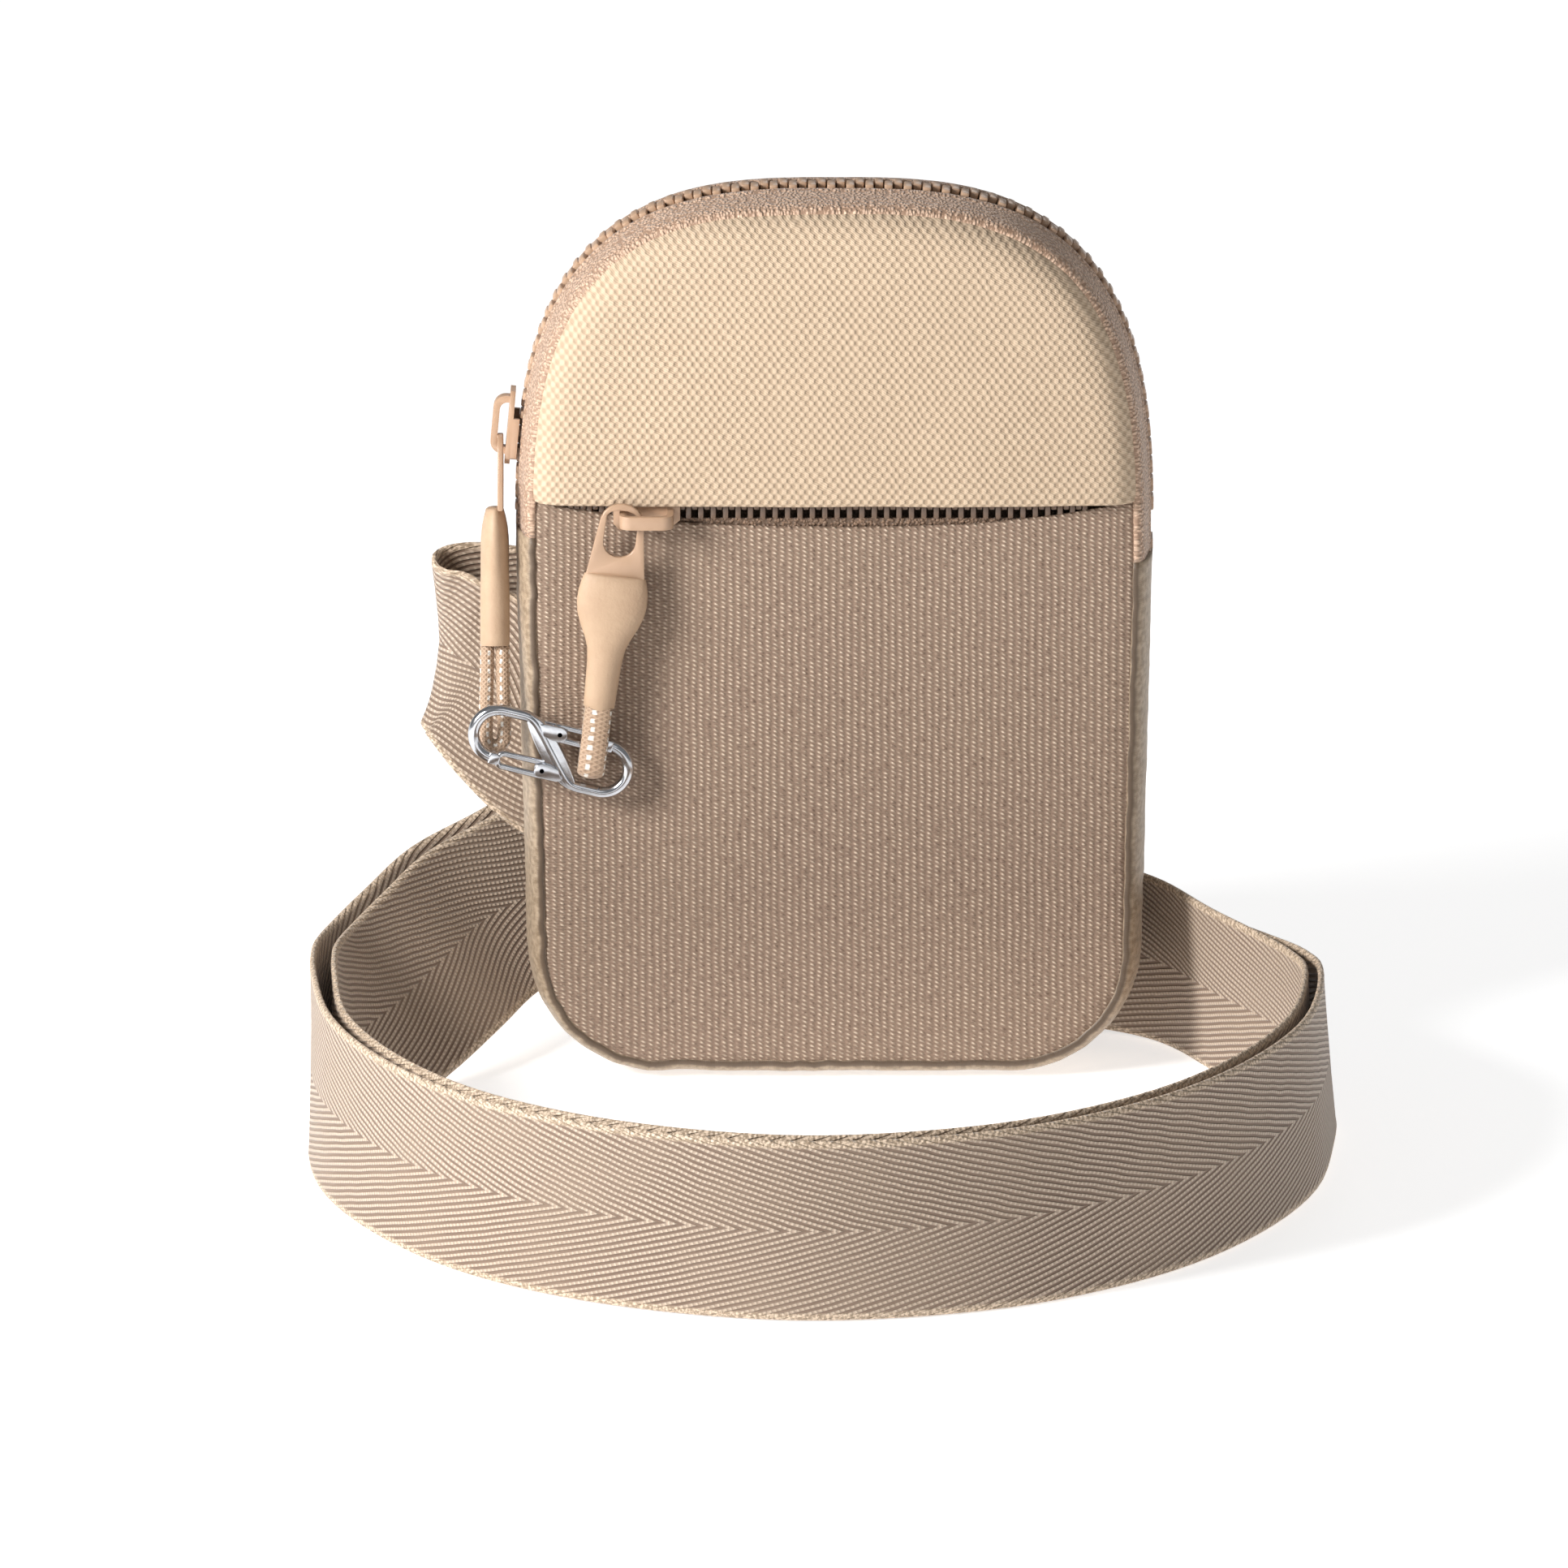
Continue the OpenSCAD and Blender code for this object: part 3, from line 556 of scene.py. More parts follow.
TOOTH_PITCH = 4
TOOTH_SIZE = (1.75, 3.9, 2.4)
FIRST_TOOTH = 4
TOOTH_INSET = 1
zip_length = chain_places(0, 1, 1, 0, 1.2)[1]
tooth_count = int((zip_length - 2 * FIRST_TOOTH) / TOOTH_PITCH)
tooth = bevelled_block(TOOTH_SIZE, 0.4)
for side, shift, end in ((-1, 0, "front"), (1, TOOTH_PITCH / 2, "rear")):
    places, _ = chain_places(FIRST_TOOTH + shift, TOOTH_PITCH, tooth_count,
                             side * 1.05, TOOTH_INSET)
    row = copies("zip_teeth_" + end, tooth, places)
    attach(row, "pouch")
    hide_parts("main_zip_teeth_" + end)

POCKET_CHAIN = (-11.4, 126)
POCKET_PITCH = 2.6
POCKET_REACH = 57
SMALL_TOOTH_SIZE = (1.15, 2, 3.1)
small_tooth = bevelled_block(SMALL_TOOTH_SIZE, 0.25)
for side, shift, end in ((1, 0, "upper"), (-1, POCKET_PITCH / 2, "lower")):
    spots = [Matrix.Translation((x, POCKET_CHAIN[0], POCKET_CHAIN[1] + side * 0.95))
             for x in (-POCKET_REACH + 1.65 + shift + n * POCKET_PITCH
                       for n in range(int((2 * POCKET_REACH - 3) / POCKET_PITCH)))]
    row = copies("pocket_teeth_" + end, small_tooth, spots)
    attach(row, "pouch")
    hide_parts("pocket_zip_teeth_" + end)

# ---- sliders, tabs and glide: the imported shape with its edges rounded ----


def rounded_copy(node, name, body, width):
    """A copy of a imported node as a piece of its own, with its edges rounded to a width."""
    piece = nodes[node].copy()
    piece.data = nodes[node].data.copy()
    piece.name = piece.data.name = name
    scene.collection.objects.link(piece)
    piece.parent = None
    piece.matrix_world = Matrix()
    piece.hide_render = piece.hide_viewport = False
    merged = bmesh.new()
    merged.from_mesh(piece.data)
    bmesh.ops.remove_doubles(merged, verts=merged.verts, dist=0.00001)
    bmesh.ops.dissolve_limit(merged, angle_limit=radians(1), verts=merged.verts,
                             edges=merged.edges)
    merged.to_mesh(piece.data)
    merged.free()
    piece.data.materials.clear()
    apply_modifier(piece, "BEVEL", width=width * MM, segments=2, limit_method="ANGLE",
                   angle_limit=radians(40))
    smooth_by_angle(piece)
    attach(piece, body)
    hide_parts(node)
    return piece


main_slider = rounded_copy("main_slider", "main_slider_body", "main_slider",
                           0.35)
pocket_slider = rounded_copy("pocket_slider", "pocket_slider_body", "pocket_slider",
                             0.35)
main_tab = rounded_copy("main_pull_tab", "main_tab", "main_pull", 0.25)
pocket_tab = rounded_copy("pocket_pull_tab", "pocket_tab", "pocket_pull", 0.25)
glide = rounded_copy("strap_glide", "webbing_glide", "pouch", 0.4)

# ---- pulls ----

MAIN_PULL_AT = (-70.2, 0, 136.6)
MAIN_PULL_TILT = radians(13)
MAIN_SLEEVE_LIE = 1.2
POCKET_PULL_AT = (-44.3, -18.3, 126.5)
POCKET_PULL_TILT = radians(7)

main_pull_frame = (Matrix.Translation(MAIN_PULL_AT) @ Matrix.Rotation(-MAIN_PULL_TILT, 4, "X")
                   @ Matrix.Translation((-MAIN_SLEEVE_LIE, 0, 0))
                   @ Matrix.Rotation(radians(90), 4, "Z"))
pocket_pull_frame = (Matrix.Translation(POCKET_PULL_AT)
                     @ Matrix.Rotation(POCKET_PULL_TILT, 4, "Y"))

# Height, half width and half depth of the sleeve's outline, from the tab down to the cord
SLEEVE_STATIONS = [(-13.7, 6.1, 1.5), (-14.0, 6.5, 1.9), (-15.5, 6.9, 2.3), (-17.5, 7.3, 2.7),
                   (-20, 7.4, 2.95), (-22.5, 7.0, 3.0), (-25, 6.1, 3.0), (-27.5, 4.9, 3.0),
                   (-30, 4.0, 3.05), (-33, 3.65, 3.1), (-37, 3.5, 3.1), (-41, 3.35, 3.1),
                   (-42.4, 3.3, 3.1), (-42.8, 3.1, 2.9)]
SLEEVE_WALL = 0.5
SLEEVE_MOUTH = 1.2


def to_metres(place):
    moved = place.copy()
    moved.translation = place.translation * MM
    return moved


def sleeve(name, place, body, replaced):
    """A soft moulded sleeve, drawn out of a ring: flat and wide at the tab, round at the cord."""
    bpy.ops.object.select_all(action="DESELECT")
    bpy.ops.mesh.primitive_circle_add(vertices=32, radius=1, fill_type="NGON", location=(0, 0, 0))
    piece = bpy.context.object
    piece.name = piece.data.name = name
    bpy.ops.object.mode_set(mode="EDIT")
    bpy.ops.mesh.select_all(action="SELECT")
    z, wide, deep = SLEEVE_STATIONS[0]
    bpy.ops.transform.resize(value=(wide * MM, deep * MM, 1))
    bpy.ops.transform.translate(value=(0, 0, z * MM))
    for after in SLEEVE_STATIONS[1:]:
        drop = (0, 0, (after[0] - z) * MM)
        bpy.ops.mesh.extrude_region_move(TRANSFORM_OT_translate={"value": drop})
        bpy.ops.transform.resize(value=(after[1] / wide, after[2] / deep, 1),
                                 center_override=(0, 0, after[0] * MM))
        z, wide, deep = after
    bpy.ops.mesh.inset(thickness=SLEEVE_WALL * MM)
    bpy.ops.transform.translate(value=(0, 0, SLEEVE_MOUTH * MM))
    bpy.ops.mesh.select_all(action="SELECT")
    bpy.ops.mesh.normals_make_consistent(inside=False)
    bpy.ops.object.mode_set(mode="OBJECT")
    piece.data.transform(to_metres(place))
    smooth_by_angle(piece, 60)
    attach(piece, body)
    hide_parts(replaced)
    return piece


main_sleeve = sleeve("main_sleeve", main_pull_frame, "main_pull", "main_pull_sleeve")
pocket_sleeve = sleeve("pocket_sleeve", pocket_pull_frame, "pocket_pull", "pocket_pull_sleeve")


def tube(name, path, wide, deep, side, sides=14, closed=False):
    """A tube along a path in millimetres, wide along the side vector and deep across it."""
    rows, uv_rows, length = [], [], 0
    size = len(path)
    for k, here in enumerate(path):
        before = path[k - 1] if closed or k else path[0]
        after = path[(k + 1) % size] if closed or k < size - 1 else path[-1]
        heading = (after - before).normalized()
        flat = (side - heading * side.dot(heading)).normalized()
        over = heading.cross(flat)
        if k:
            length += (here - path[k - 1]).length
        turns = [2 * pi * j / sides for j in range(sides)]
        rows.append([here + flat * wide * cos(turn) + over * deep * sin(turn) for turn in turns])
        uv_rows.append([(j / sides, length / 10) for j in range(sides)])
    return loft(name, rows, uv_rows, closed)


def cord_loop(top, low, near, wide, place):
    """A loop of cord below a sleeve: down one strand, round, and up the other."""
    bend = [(wide * cos(radians(a)), low + wide + wide * sin(radians(a)))
            for a in range(0, -181, -20)]
    line = ([(near, top), (near + (wide - near) * 0.3, top + (low + wide - top) * 0.35),
             (wide, top + (low + wide - top) * 0.75)] + bend
            + [(-wide, top + (low + wide - top) * 0.75),
               (-near - (wide - near) * 0.3, top + (low + wide - top) * 0.35), (-near, top)])
    return [place @ Vector((0, p[0], p[1])) for p in catmull(line, 3)]


CORD_TOP = -42.4
main_cord = tube("main_pull_loop", cord_loop(CORD_TOP, -64, 1.6, 1.9, main_pull_frame), 1.5, 1.5,
                 main_pull_frame.to_3x3() @ Vector((1, 0, 0)))
pocket_cord = tube("pocket_pull_loop", cord_loop(CORD_TOP, -57.1, 1.5, 3.1, pocket_pull_frame),
                   2.9, 1.4, pocket_pull_frame.to_3x3() @ Vector((1, 0, 0)), sides=20)
for piece, body, node in ((main_cord, "main_pull", "main_pull_cord"),
                          (pocket_cord, "pocket_pull", "pocket_pull_cord")):
    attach(piece, body)
    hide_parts(node)

# ---- clip ----

CLIP_AT = (-59.6, -18.3, 74.3)
CLIP_TILT = radians(14)
clip_frame = (Matrix.Translation(CLIP_AT) @ Matrix.Rotation(CLIP_TILT, 4, "Y")
              @ Matrix.Rotation(radians(90), 4, "X"))
RING_END = 11.5
BEND_R = 5.3
WIRE_R = 1.2
clip_side = clip_frame.to_3x3() @ Vector((0, 0, 1))


def clip_line(points):
    return [clip_frame @ Vector((u, v, 0)) for u, v in points]


half_s = ([(RING_END, -1 + BEND_R)]
          + [(RING_END + BEND_R * cos(radians(a)), -1 + BEND_R * sin(radians(a)))
             for a in range(84, -85, -12)]
          + [(RING_END, -1 - BEND_R), (9, -6.3), (6.6, -6.25), (4.8, -5.4), (2.6, -3.1),
             (0.6, -0.7)])
other_half = [(-u, -v) for u, v in reversed(half_s)]
clip_wire = tube("clip_wire", clip_line(catmull(half_s + other_half, 3)), WIRE_R, WIRE_R,
                 clip_side, sides=18)
web_outline = [(-6.2, 7.1), (-2.2, 5.5), (2.4, 0.7), (6.4, -5.0), (6.2, -7.1), (2.2, -5.5),
               (-2.4, -0.7), (-6.4, 5.0)]
clip_parts = [clip_wire]


def clip_plate(name, outline, low, high, bevel):
    """A flat plate in the plane of the clip, with its edges bevelled."""
    size = len(outline)
    points = [clip_frame @ Vector((u, v, w)) for w in (low, high) for u, v in outline]
    faces = [tuple(range(size)), tuple(range(size, 2 * size))]
    faces += [(k, (k + 1) % size, size + (k + 1) % size, size + k) for k in range(size)]
    piece = turn_outward(new_piece(name, points, faces, smooth=False))
    apply_modifier(piece, "BEVEL", width=bevel * MM, segments=3, limit_method="ANGLE",
                   angle_limit=radians(30))
    smooth_by_angle(piece, 50)
    return piece


clip_parts.append(clip_plate("clip_web", catmull(web_outline + web_outline[:1], 3)[:-1],
                             -1, 1, 0.5))
PIVOT = (0.9, 4.3)
ear = [(PIVOT[0] + 1.6 * cos(radians(a)), PIVOT[1] + 1.6 * sin(radians(a)))
       for a in range(-90, 91, 15)] + [(-2.6, 5.9), (-3.6, 5.4), (-2.4, 3.2), (-0.6, 2.7)]
nose = [(RING_END + 0.9, 5.5), (RING_END - 0.9, 5.5), (RING_END - 1.5, 5.1),
        (RING_END - 1.5, 3.4), (RING_END - 0.9, 3.0), (RING_END + 0.9, 3.0)]
for turn, side in ((1, "right"), (-1, "left")):
    for face, low, high in (("front", 0.8, 1.5), ("rear", -1.5, -0.8)):
        clip_parts.append(clip_plate("clip_ear_%s_%s" % (side, face),
                                     [(turn * u, turn * v) for u, v in ear], low, high, 0.15))
    clip_parts.append(clip_plate("clip_nose_" + side,
                                 [(turn * u, turn * v) for u, v in nose], -1.25, 1.25, 0.3))
for piece in clip_parts:
    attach(piece, "clip")
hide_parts("clip_body")

GATE_HALF = 1.45
GATE_REACH = 9.1
GATE_WIRE_R = 0.68


def gate_arc(u, first, last):
    """Points of one rounded end of the gate, between two angles from straight down."""
    return [(u + GATE_HALF * sin(radians(a)), PIVOT[1] - GATE_HALF * cos(radians(a)))
            for a in range(first, last, 15)]


gate_steps = [PIVOT[0] + (GATE_REACH - PIVOT[0]) * n / 4 for n in (1, 2, 3)]
gate_loop = ([(u, PIVOT[1] - GATE_HALF) for u in [PIVOT[0]] + gate_steps]
             + gate_arc(GATE_REACH, 0, 181)
             + [(u, PIVOT[1] + GATE_HALF) for u in reversed(gate_steps)]
             + gate_arc(PIVOT[0], 180, 360))
for turn, side in ((1, "right"), (-1, "left")):
    gate = tube("gate_wire_" + side, clip_line([(turn * u, turn * v) for u, v in gate_loop]),
                GATE_WIRE_R, GATE_WIRE_R, clip_side, sides=12, closed=True)
    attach(gate, "gate_" + side)
    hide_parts("clip_gate_" + side)

# ---- the tab that holds the strap's ring ----

RING_AT = (31, 18.3, 90.4)
RING_TILT = radians(41)
TAB_R = 2.2
TAB_END = 21.4
ring_frame = (Matrix.Translation(RING_AT) @ Matrix.Rotation(-RING_TILT, 4, "Y")
              @ Matrix.Rotation(radians(90), 4, "X"))
tab_line = ([(TAB_END, TAB_R), (16, TAB_R), (10, TAB_R)]
            + [(5.5 - TAB_R * sin(radians(a)), TAB_R * cos(radians(a))) for a in range(0, 181, 20)]
            + [(10, -TAB_R), (16, -TAB_R), (TAB_END, -TAB_R)])
tab_rows, tab_uvs, walked = [], [], 0
tab_path = catmull(tab_line, 2)
tab_section = ACROSS + [(a, -h) for a, h in reversed(ACROSS[1:-1])]
for k, (u, w) in enumerate(tab_path):
    before, after = tab_path[max(k - 1, 0)], tab_path[min(k + 1, len(tab_path) - 1)]
    heading = Vector((after[0] - before[0], after[1] - before[1])).normalized()
    walked += (Vector(tab_path[k]) - Vector(before)).length
    tab_rows.append([ring_frame @ Vector((u - heading.y * h, a * WEB_W / 2, w + heading.x * h))
                     for a, h in tab_section])
    tab_uvs.append([(a * WEB_W / 20, walked / 10) for a, _ in tab_section])
ring_tab = loft("ring_tab_webbing", tab_rows, tab_uvs)
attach(ring_tab, "pouch")
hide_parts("ring_tab")

# ---- materials ----


class Finish:
    """A material under construction: short calls that add a node and link its inputs."""

    def __init__(self, name, colour, roughness):
        self.material = bpy.data.materials.new(name)
        self.material.use_nodes = True
        self.material.diffuse_color = (*colour, 1)
        self.tree = self.material.node_tree
        self.shader = self.tree.nodes["Principled BSDF"]
        self.shader.inputs["Base Color"].default_value = (*colour, 1)
        self.shader.inputs["Roughness"].default_value = roughness

    def link(self, value, socket):
        if isinstance(value, (int, float)):
            socket.default_value = value
        elif isinstance(value, tuple):
            solid = len(value) == 3 and socket.type == "RGBA"
            socket.default_value = (*value, 1) if solid else value
        else:
            self.tree.links.new(value, socket)

    def node(self, kind, **settings):
        made = self.tree.nodes.new(kind)
        for key, value in settings.items():
            if hasattr(made, key):
                setattr(made, key, value)
            else:
                self.link(value, made.inputs[key.replace("_", " ")])
        return made.outputs[0]

    def math(self, operation, *values):
        made = self.tree.nodes.new("ShaderNodeMath")
        made.operation = operation
        for value, socket in zip(values, made.inputs):
            self.link(value, socket)
        return made.outputs[0]

    def mix(self, factor, low, high):
        made = self.tree.nodes.new("ShaderNodeMix")
        made.data_type = "RGBA"
        for value, k in ((factor, 0), (low, 6), (high, 7)):
            self.link(value, made.inputs[k])
        return made.outputs[2]

    def ramp(self, value, low, high):
        made = self.tree.nodes.new("ShaderNodeMapRange")
        made.interpolation_type = "SMOOTHSTEP"
        for given, k in ((value, 0), (low, 1), (high, 2)):
            self.link(given, made.inputs[k])
        return made.outputs[0]

    def place(self, on_map):
        """Millimetres on the piece's own map (across, along), or in the object's frame."""
        source = self.tree.nodes.new("ShaderNodeTexCoord").outputs["UV" if on_map else "Object"]
        scale = 10 if on_map else 1000
        return self.node("ShaderNodeVectorMath", operation="SCALE", Vector=source, Scale=scale)

    def split(self, vector):
        made = self.tree.nodes.new("ShaderNodeSeparateXYZ")
        self.tree.links.new(vector, made.inputs[0])
        return made.outputs[0], made.outputs[1], made.outputs[2]

    def noise(self, place, size, detail=2.0):
        return self.node("ShaderNodeTexNoise", Vector=place, Scale=1 / size, Detail=detail)

    def wave(self, value, period):
        """From 0 to 1 and back over each period."""
        turned = self.math("COSINE", self.math("MULTIPLY", value, 2 * pi / period))
        return self.math("MULTIPLY_ADD", turned, 0.5, 0.5)

    def bump(self, height, depth):
        made = self.tree.nodes.new("ShaderNodeBump")
        self.link(height, made.inputs["Height"])
        made.inputs["Distance"].default_value = depth * MM
        made.inputs["Strength"].default_value = 1
        self.tree.links.new(made.outputs[0], self.shader.inputs["Normal"])

    def colour(self, value):
        self.link(value, self.shader.inputs["Base Color"])

    def rough(self, value):
        self.link(value, self.shader.inputs["Roughness"])

    def sheen(self, weight, tint):
        self.shader.inputs["Sheen Weight"].default_value = weight
        self.shader.inputs["Sheen Roughness"].default_value = 0.4
        self.shader.inputs["Sheen Tint"].default_value = (*tint, 1)


def canvas_finish():
    f = Finish("canvas", (0.66, 0.51, 0.34), 0.85)
    place = f.place(False)
    x, _, z = f.split(place)
    wobble = f.math("MULTIPLY_ADD", f.noise(place, 5), 0.9, -0.45)
    x, z = f.math("ADD", x, wobble), f.math("ADD", z, wobble)
    lattice = f.math("MULTIPLY", f.math("COSINE", f.math("MULTIPLY", x, 2 * pi / 1.9)),
                     f.math("COSINE", f.math("MULTIPLY", z, 2 * pi / 2.4)))
    uneven = f.math("MULTIPLY_ADD", f.noise(place, 1.6, 2), 0.7, -0.35)
    grain = f.ramp(f.math("ADD", lattice, uneven), -0.95, 0.8)
    thread = f.wave(f.math("MULTIPLY_ADD", x, 0.6, z), 0.45)
    height = f.math("ADD", f.math("MULTIPLY", grain, 0.85), f.math("MULTIPLY", thread, 0.12))
    drift = f.ramp(f.noise(place, 30, 3), 0.35, 0.7)
    body = f.mix(grain, (0.42, 0.305, 0.205), (0.62, 0.475, 0.335))
    f.colour(f.mix(f.math("MULTIPLY", drift, 0.2), body, (0.51, 0.385, 0.27)))
    f.rough(f.math("MULTIPLY_ADD", grain, -0.12, 0.9))
    f.bump(height, 0.26)
    f.sheen(0.1, (1, 0.92, 0.8))
    return f.material


def ribbed_finish():
    f = Finish("ribbed_fabric", (0.33, 0.24, 0.165), 0.6)
    place = f.place(False)
    x, _, z = f.split(place)
    wobble = f.math("MULTIPLY_ADD", f.noise(place, 7), 0.8, -0.4)
    x = f.math("ADD", x, wobble)
    rib = f.math("POWER", f.wave(x, 1.55), 1.2)
    slanted = f.math("MULTIPLY_ADD", x, 0.4, z)
    stitch = f.ramp(f.wave(slanted, 0.95), 0.2, 0.85)
    threads = f.wave(f.math("ADD", z, f.math("MULTIPLY", wobble, 0.5)), 0.62)
    height = f.math("ADD", f.math("MULTIPLY", rib, f.math("MULTIPLY_ADD", stitch, 0.7, 0.15)),
                    f.math("MULTIPLY", threads, 0.22))
    # painted highlight: bright glints painted onto the rib crests, where light catches, with less
    # roughness there
    painted_glint = f.math("MULTIPLY", f.math("MULTIPLY", rib, stitch),
                     f.ramp(f.noise(place, 1.3, 1), 0.25, 0.6))
    ground = f.mix(f.noise(place, 1.1, 3), (0.16, 0.10, 0.066), (0.31, 0.21, 0.15))
    drift = f.ramp(f.noise(place, 34, 2), 0.35, 0.68)
    ground = f.mix(f.math("MULTIPLY", drift, 0.35), ground, (0.25, 0.17, 0.115))
    f.colour(f.mix(painted_glint, ground, (0.64, 0.50, 0.375)))
    f.rough(f.math("MULTIPLY_ADD", painted_glint, -0.25, 0.68))
    f.bump(height, 0.3)
    f.sheen(0.1, (1, 0.9, 0.78))
    return f.material


def satin_finish():
    f = Finish("satin_fabric", (0.36, 0.27, 0.18), 0.5)
    place = f.place(True)
    across, along, _ = f.split(place)
    stretched = f.node("ShaderNodeMapping", vector_type="POINT", Vector=place, Scale=(0.35, 1, 1))
    crease = f.noise(stretched, 2.6, 3)
    fine = f.math("MULTIPLY", f.wave(across, 0.5), f.wave(along, 0.42))
    height = f.math("ADD", f.math("MULTIPLY", crease, 0.8), f.math("MULTIPLY", fine, 0.12))
    cloud = f.ramp(f.noise(place, 1.3, 3), 0.3, 0.7)
    tone = f.mix(cloud, (0.25, 0.18, 0.115), (0.43, 0.325, 0.225))
    # painted shade: the gusset darkens to near black in the creases along both seams, under the
    # panels' edges
    edge = f.ramp(f.math("ABSOLUTE", across), 12.3, 12.9)
    f.colour(f.mix(edge, tone, (0.10, 0.065, 0.04)))
    f.rough(f.math("MULTIPLY_ADD", crease, 0.2, 0.38))
    f.bump(height, 0.35)
    f.sheen(0.2, (1, 0.92, 0.82))
    return f.material


def tape_finish(name, light, dark, on_map=True):
    f = Finish(name, light, 0.55)
    place = f.place(on_map)
    knots = f.node("ShaderNodeTexVoronoi", Vector=place, Scale=1.35)
    nub = f.ramp(knots, 0.15, 0.75)
    fleck = f.ramp(f.noise(place, 0.6, 2), 0.52, 0.68)
    body = f.mix(nub, light, dark)
    f.colour(f.mix(f.math("MULTIPLY", fleck, 0.7), body, tuple(min(1, c * 1.45) for c in light)))
    f.bump(f.math("SUBTRACT", 1.0, nub), 0.3)
    f.sheen(0.3, (1, 0.9, 0.85))
    return f.material


def webbing_finish():
    f = Finish("webbing", (0.47, 0.375, 0.28), 0.5)
    place = f.place(True)
    across, along, _ = f.split(place)
    wobble = f.math("MULTIPLY_ADD", f.noise(place, 9), 0.6, -0.3)
    span = f.math("ABSOLUTE", f.math("ADD", across, f.math("MULTIPLY", wobble, 0.4)))
    twill = f.math("ADD", f.math("SUBTRACT", span, f.math("MULTIPLY", along, 0.3)), wobble)
    line = f.ramp(f.wave(twill, 1.3), 0.08, 0.75)
    lay = f.math("ADD", f.math("MULTIPLY", span, 0.45), along)
    stitch = f.wave(lay, 1.15)
    height = f.math("MULTIPLY", line, f.math("MULTIPLY_ADD", stitch, 0.35, 0.65))
    fleck = f.math("MULTIPLY", f.ramp(stitch, 0.45, 1.0), f.ramp(line, 0.4, 1.0))
    body = f.mix(line, (0.17, 0.11, 0.075), (0.41, 0.31, 0.235))
    body = f.mix(f.math("MULTIPLY", fleck, 0.55), body, (0.72, 0.60, 0.47))
    selvage = f.ramp(span, 17.2, 17.9)
    nubs = f.mix(f.ramp(f.noise(place, 0.7, 2), 0.42, 0.6), (0.34, 0.25, 0.17), (0.70, 0.55, 0.41))
    drift = f.ramp(f.noise(place, 22, 2), 0.3, 0.75)
    body = f.mix(f.math("MULTIPLY", drift, 0.3), body, (0.33, 0.245, 0.175))
    f.colour(f.mix(selvage, body, nubs))
    f.rough(f.math("MULTIPLY_ADD", line, -0.15, 0.62))
    f.bump(height, 0.3)
    f.sheen(0.2, (1, 0.93, 0.85))
    f.shader.inputs["Anisotropic"].default_value = 0.3
    return f.material


def cord_finish():
    f = Finish("pull_cord", (0.42, 0.28, 0.18), 0.6)
    place = f.place(True)
    around, along, _ = f.split(place)
    turn = f.math("MULTIPLY", around, 0.8)
    left = f.wave(f.math("ADD", turn, along), 1.0)
    right = f.wave(f.math("SUBTRACT", turn, along), 1.0)
    braid = f.math("MAXIMUM", left, right)
    lanes = f.ramp(f.wave(f.math("ADD", around, f.noise(place, 3)), 2.5), 0.8, 0.95)
    dash = f.math("MULTIPLY", lanes, f.ramp(f.wave(along, 1.9), 0.35, 0.6))
    body = f.mix(braid, (0.36, 0.235, 0.15), (0.50, 0.345, 0.235))
    f.colour(f.mix(dash, body, (0.82, 0.77, 0.70)))
    f.bump(braid, 0.18)
    f.sheen(0.2, (1, 0.92, 0.85))
    return f.material


def moulded_finish(name, colour, roughness, coat, grain, depth, worn):
    f = Finish(name, colour, roughness)
    place = f.place(False)
    cloud = f.noise(place, 6, 3)
    pores = f.noise(place, grain, 3)
    f.colour(f.mix(f.ramp(cloud, 0.3, 0.72), colour, worn))
    f.rough(f.math("MULTIPLY_ADD", pores, 0.16, roughness - 0.08))
    f.bump(pores, depth)
    f.shader.inputs["Coat Weight"].default_value = coat
    f.shader.inputs["Coat Roughness"].default_value = 0.25
    return f.material


def teeth_finish():
    """Glossy tan blocks; the small ones of the pocket, deep under the hem, are painted dark brown
    as the shade under the hem.
    """
    f = Finish("zip_teeth", (0.47, 0.30, 0.195), 0.35)
    place = f.place(False)
    _, y, _ = f.split(place)
    cloud = f.mix(f.noise(place, 6, 3), (0.43, 0.275, 0.175), (0.54, 0.36, 0.24))
    # painted shade: teeth more than 9 mm to the front, the pocket's under the hem, take a dark
    # brown
    f.colour(f.mix(f.ramp(y, -9, -8), (0.17, 0.105, 0.068), cloud))
    f.bump(f.noise(place, 1.5, 3), 0.03)
    f.shader.inputs["Coat Weight"].default_value = 0.25
    return f.material


def steel_finish():
    f = Finish("polished_steel", (0.80, 0.81, 0.83), 0.1)
    place = f.place(False)
    f.shader.inputs["Metallic"].default_value = 1
    haze = f.noise(place, 4, 3)
    scuffs = f.noise(f.node("ShaderNodeMapping", Vector=place, Scale=(0.3, 1, 2.5)), 0.8, 2)
    f.colour(f.mix(f.ramp(haze, 0.3, 0.7), (0.66, 0.67, 0.70), (0.52, 0.53, 0.56)))
    f.rough(f.math("MULTIPLY_ADD", scuffs, 0.12, 0.1))
    f.bump(haze, 0.02)
    return f.material


def plain_weave(name, colour, dark, pitch):
    f = Finish(name, colour, 0.8)
    place = f.place(False)
    x, y, z = f.split(place)
    weave = f.math("MULTIPLY", f.wave(f.math("ADD", x, y), pitch), f.wave(z, pitch))
    f.colour(f.mix(f.math("MULTIPLY_ADD", f.noise(place, 12), 0.3, weave), dark, colour))
    f.bump(weave, 0.15)
    return f.material


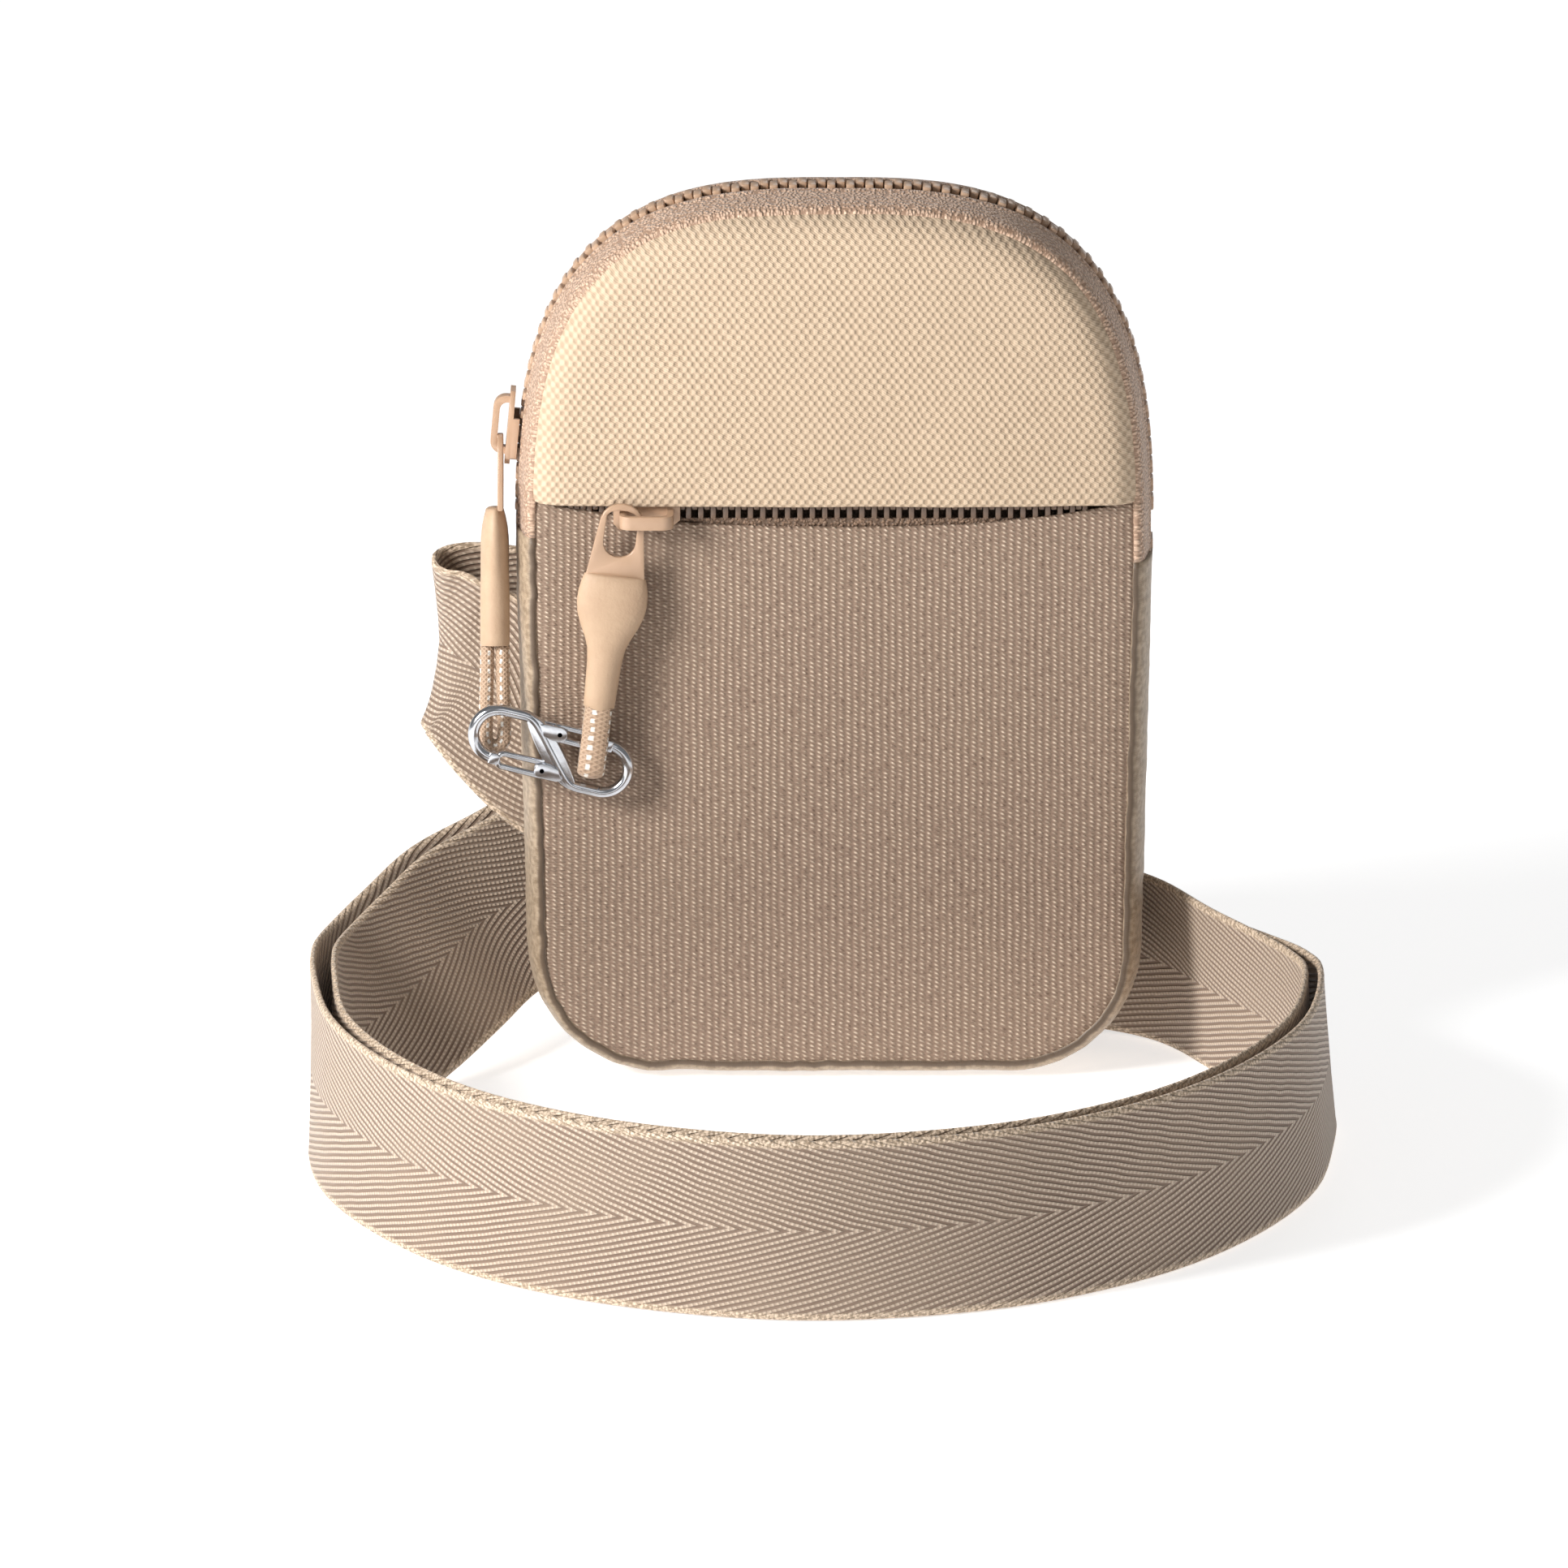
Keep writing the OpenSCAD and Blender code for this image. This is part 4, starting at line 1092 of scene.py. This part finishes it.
finishes = {
    "canvas": canvas_finish(),
    "ribbed_fabric": ribbed_finish(),
    "satin_fabric": satin_finish(),
    "lining": plain_weave("lining", (0.30, 0.215, 0.15), (0.16, 0.11, 0.075), 0.9),
    "foam": moulded_finish("foam", (0.45, 0.45, 0.43), 0.9, 0, 0.7, 0.2, (0.38, 0.38, 0.36)),
    "binding": plain_weave("binding", (0.2, 0.15, 0.11), (0.1, 0.07, 0.05), 0.7),
    "zip_tape": tape_finish("zip_tape", (0.60, 0.415, 0.295), (0.33, 0.205, 0.135)),
    "pocket_tape": tape_finish("pocket_tape", (0.27, 0.17, 0.11), (0.13, 0.08, 0.05), False),
    "zip_teeth": teeth_finish(),
    "slider_metal": moulded_finish("slider_metal", (0.43, 0.275, 0.175), 0.36, 0.2, 2.5, 0.02,
                                   (0.46, 0.30, 0.195)),
    "sleeve": moulded_finish("sleeve", (0.50, 0.345, 0.225), 0.58, 0, 0.8, 0.1,
                             (0.46, 0.31, 0.20)),
    "pull_cord": cord_finish(),
    "polished_steel": steel_finish(),
    "webbing": webbing_finish(),
    "glide_plastic": moulded_finish("glide_plastic", (0.33, 0.235, 0.165), 0.5, 0, 0.9, 0.05,
                                    (0.28, 0.195, 0.13)),
    "thread": plain_weave("thread", (0.5, 0.38, 0.28), (0.3, 0.2, 0.13), 0.5),
}

slots = {row["node"]: row["material_slot"] for row in frame["record"]["subparts"]}
for name, node in nodes.items():
    node.data.materials.clear()
    node.data.materials.append(finishes[slots[name]])

for finish, pieces in {
        "canvas": [canvas_panel], "ribbed_fabric": [pocket_panel, back_cover],
        "satin_fabric": [gusset_band], "zip_tape": [front_tape, rear_tape],
        "zip_teeth": [bpy.data.objects[n] for n in (
            "zip_teeth_front", "zip_teeth_rear", "pocket_teeth_upper", "pocket_teeth_lower")],
        "slider_metal": [main_slider, pocket_slider, main_tab, pocket_tab],
        "sleeve": [main_sleeve, pocket_sleeve], "pull_cord": [main_cord, pocket_cord],
        "polished_steel": clip_parts + [bpy.data.objects["gate_wire_left"],
                                        bpy.data.objects["gate_wire_right"]],
        "webbing": [strap, strap_inner, ring_tab], "glide_plastic": [glide]}.items():
    for piece in pieces:
        piece.data.materials.clear()
        piece.data.materials.append(finishes[finish])

# ---- floor and light ----

floor_finish = Finish("floor", (0.93, 0.93, 0.93), 0.9)
floor_finish.shader.inputs["Emission Color"].default_value = (1, 1, 1, 1)
floor_finish.shader.inputs["Emission Strength"].default_value = 0.62
FLOOR_REACH = 9000
FLOOR_Z = -0.2
floor = new_piece("floor", [(x * FLOOR_REACH, y * FLOOR_REACH, FLOOR_Z)
                            for x, y in ((-1, -1), (1, -1), (1, 1), (-1, 1))], [(0, 1, 2, 3)])
floor.data.materials.append(floor_finish.material)


def soft_light(name, spot, size, power):
    data = bpy.data.lights.new(name, "AREA")
    data.shape = "DISK"
    data.size = size
    data.energy = power
    light = bpy.data.objects.new(name, data)
    scene.collection.objects.link(light)
    light.location = spot
    light.rotation_euler = (look_at - Vector(spot)).to_track_quat("-Z", "Y").to_euler()


soft_light("key", (-0.6, -0.42, 0.42), 0.3, 8.5)
soft_light("fill", (0.3, -1.6, 0.9), 0.9, 1.6)
soft_light("back", (0.3, 1.3, 1.2), 1.0, 4)
WORLD_STRENGTH = 0.22
world = bpy.data.worlds.new("studio")
world.use_nodes = True
background = world.node_tree.nodes["Background"]
background.inputs["Color"].default_value = (1, 1, 1, 1)
background.inputs["Strength"].default_value = WORLD_STRENGTH
scene.world = world
scene.view_settings.view_transform = "Standard"
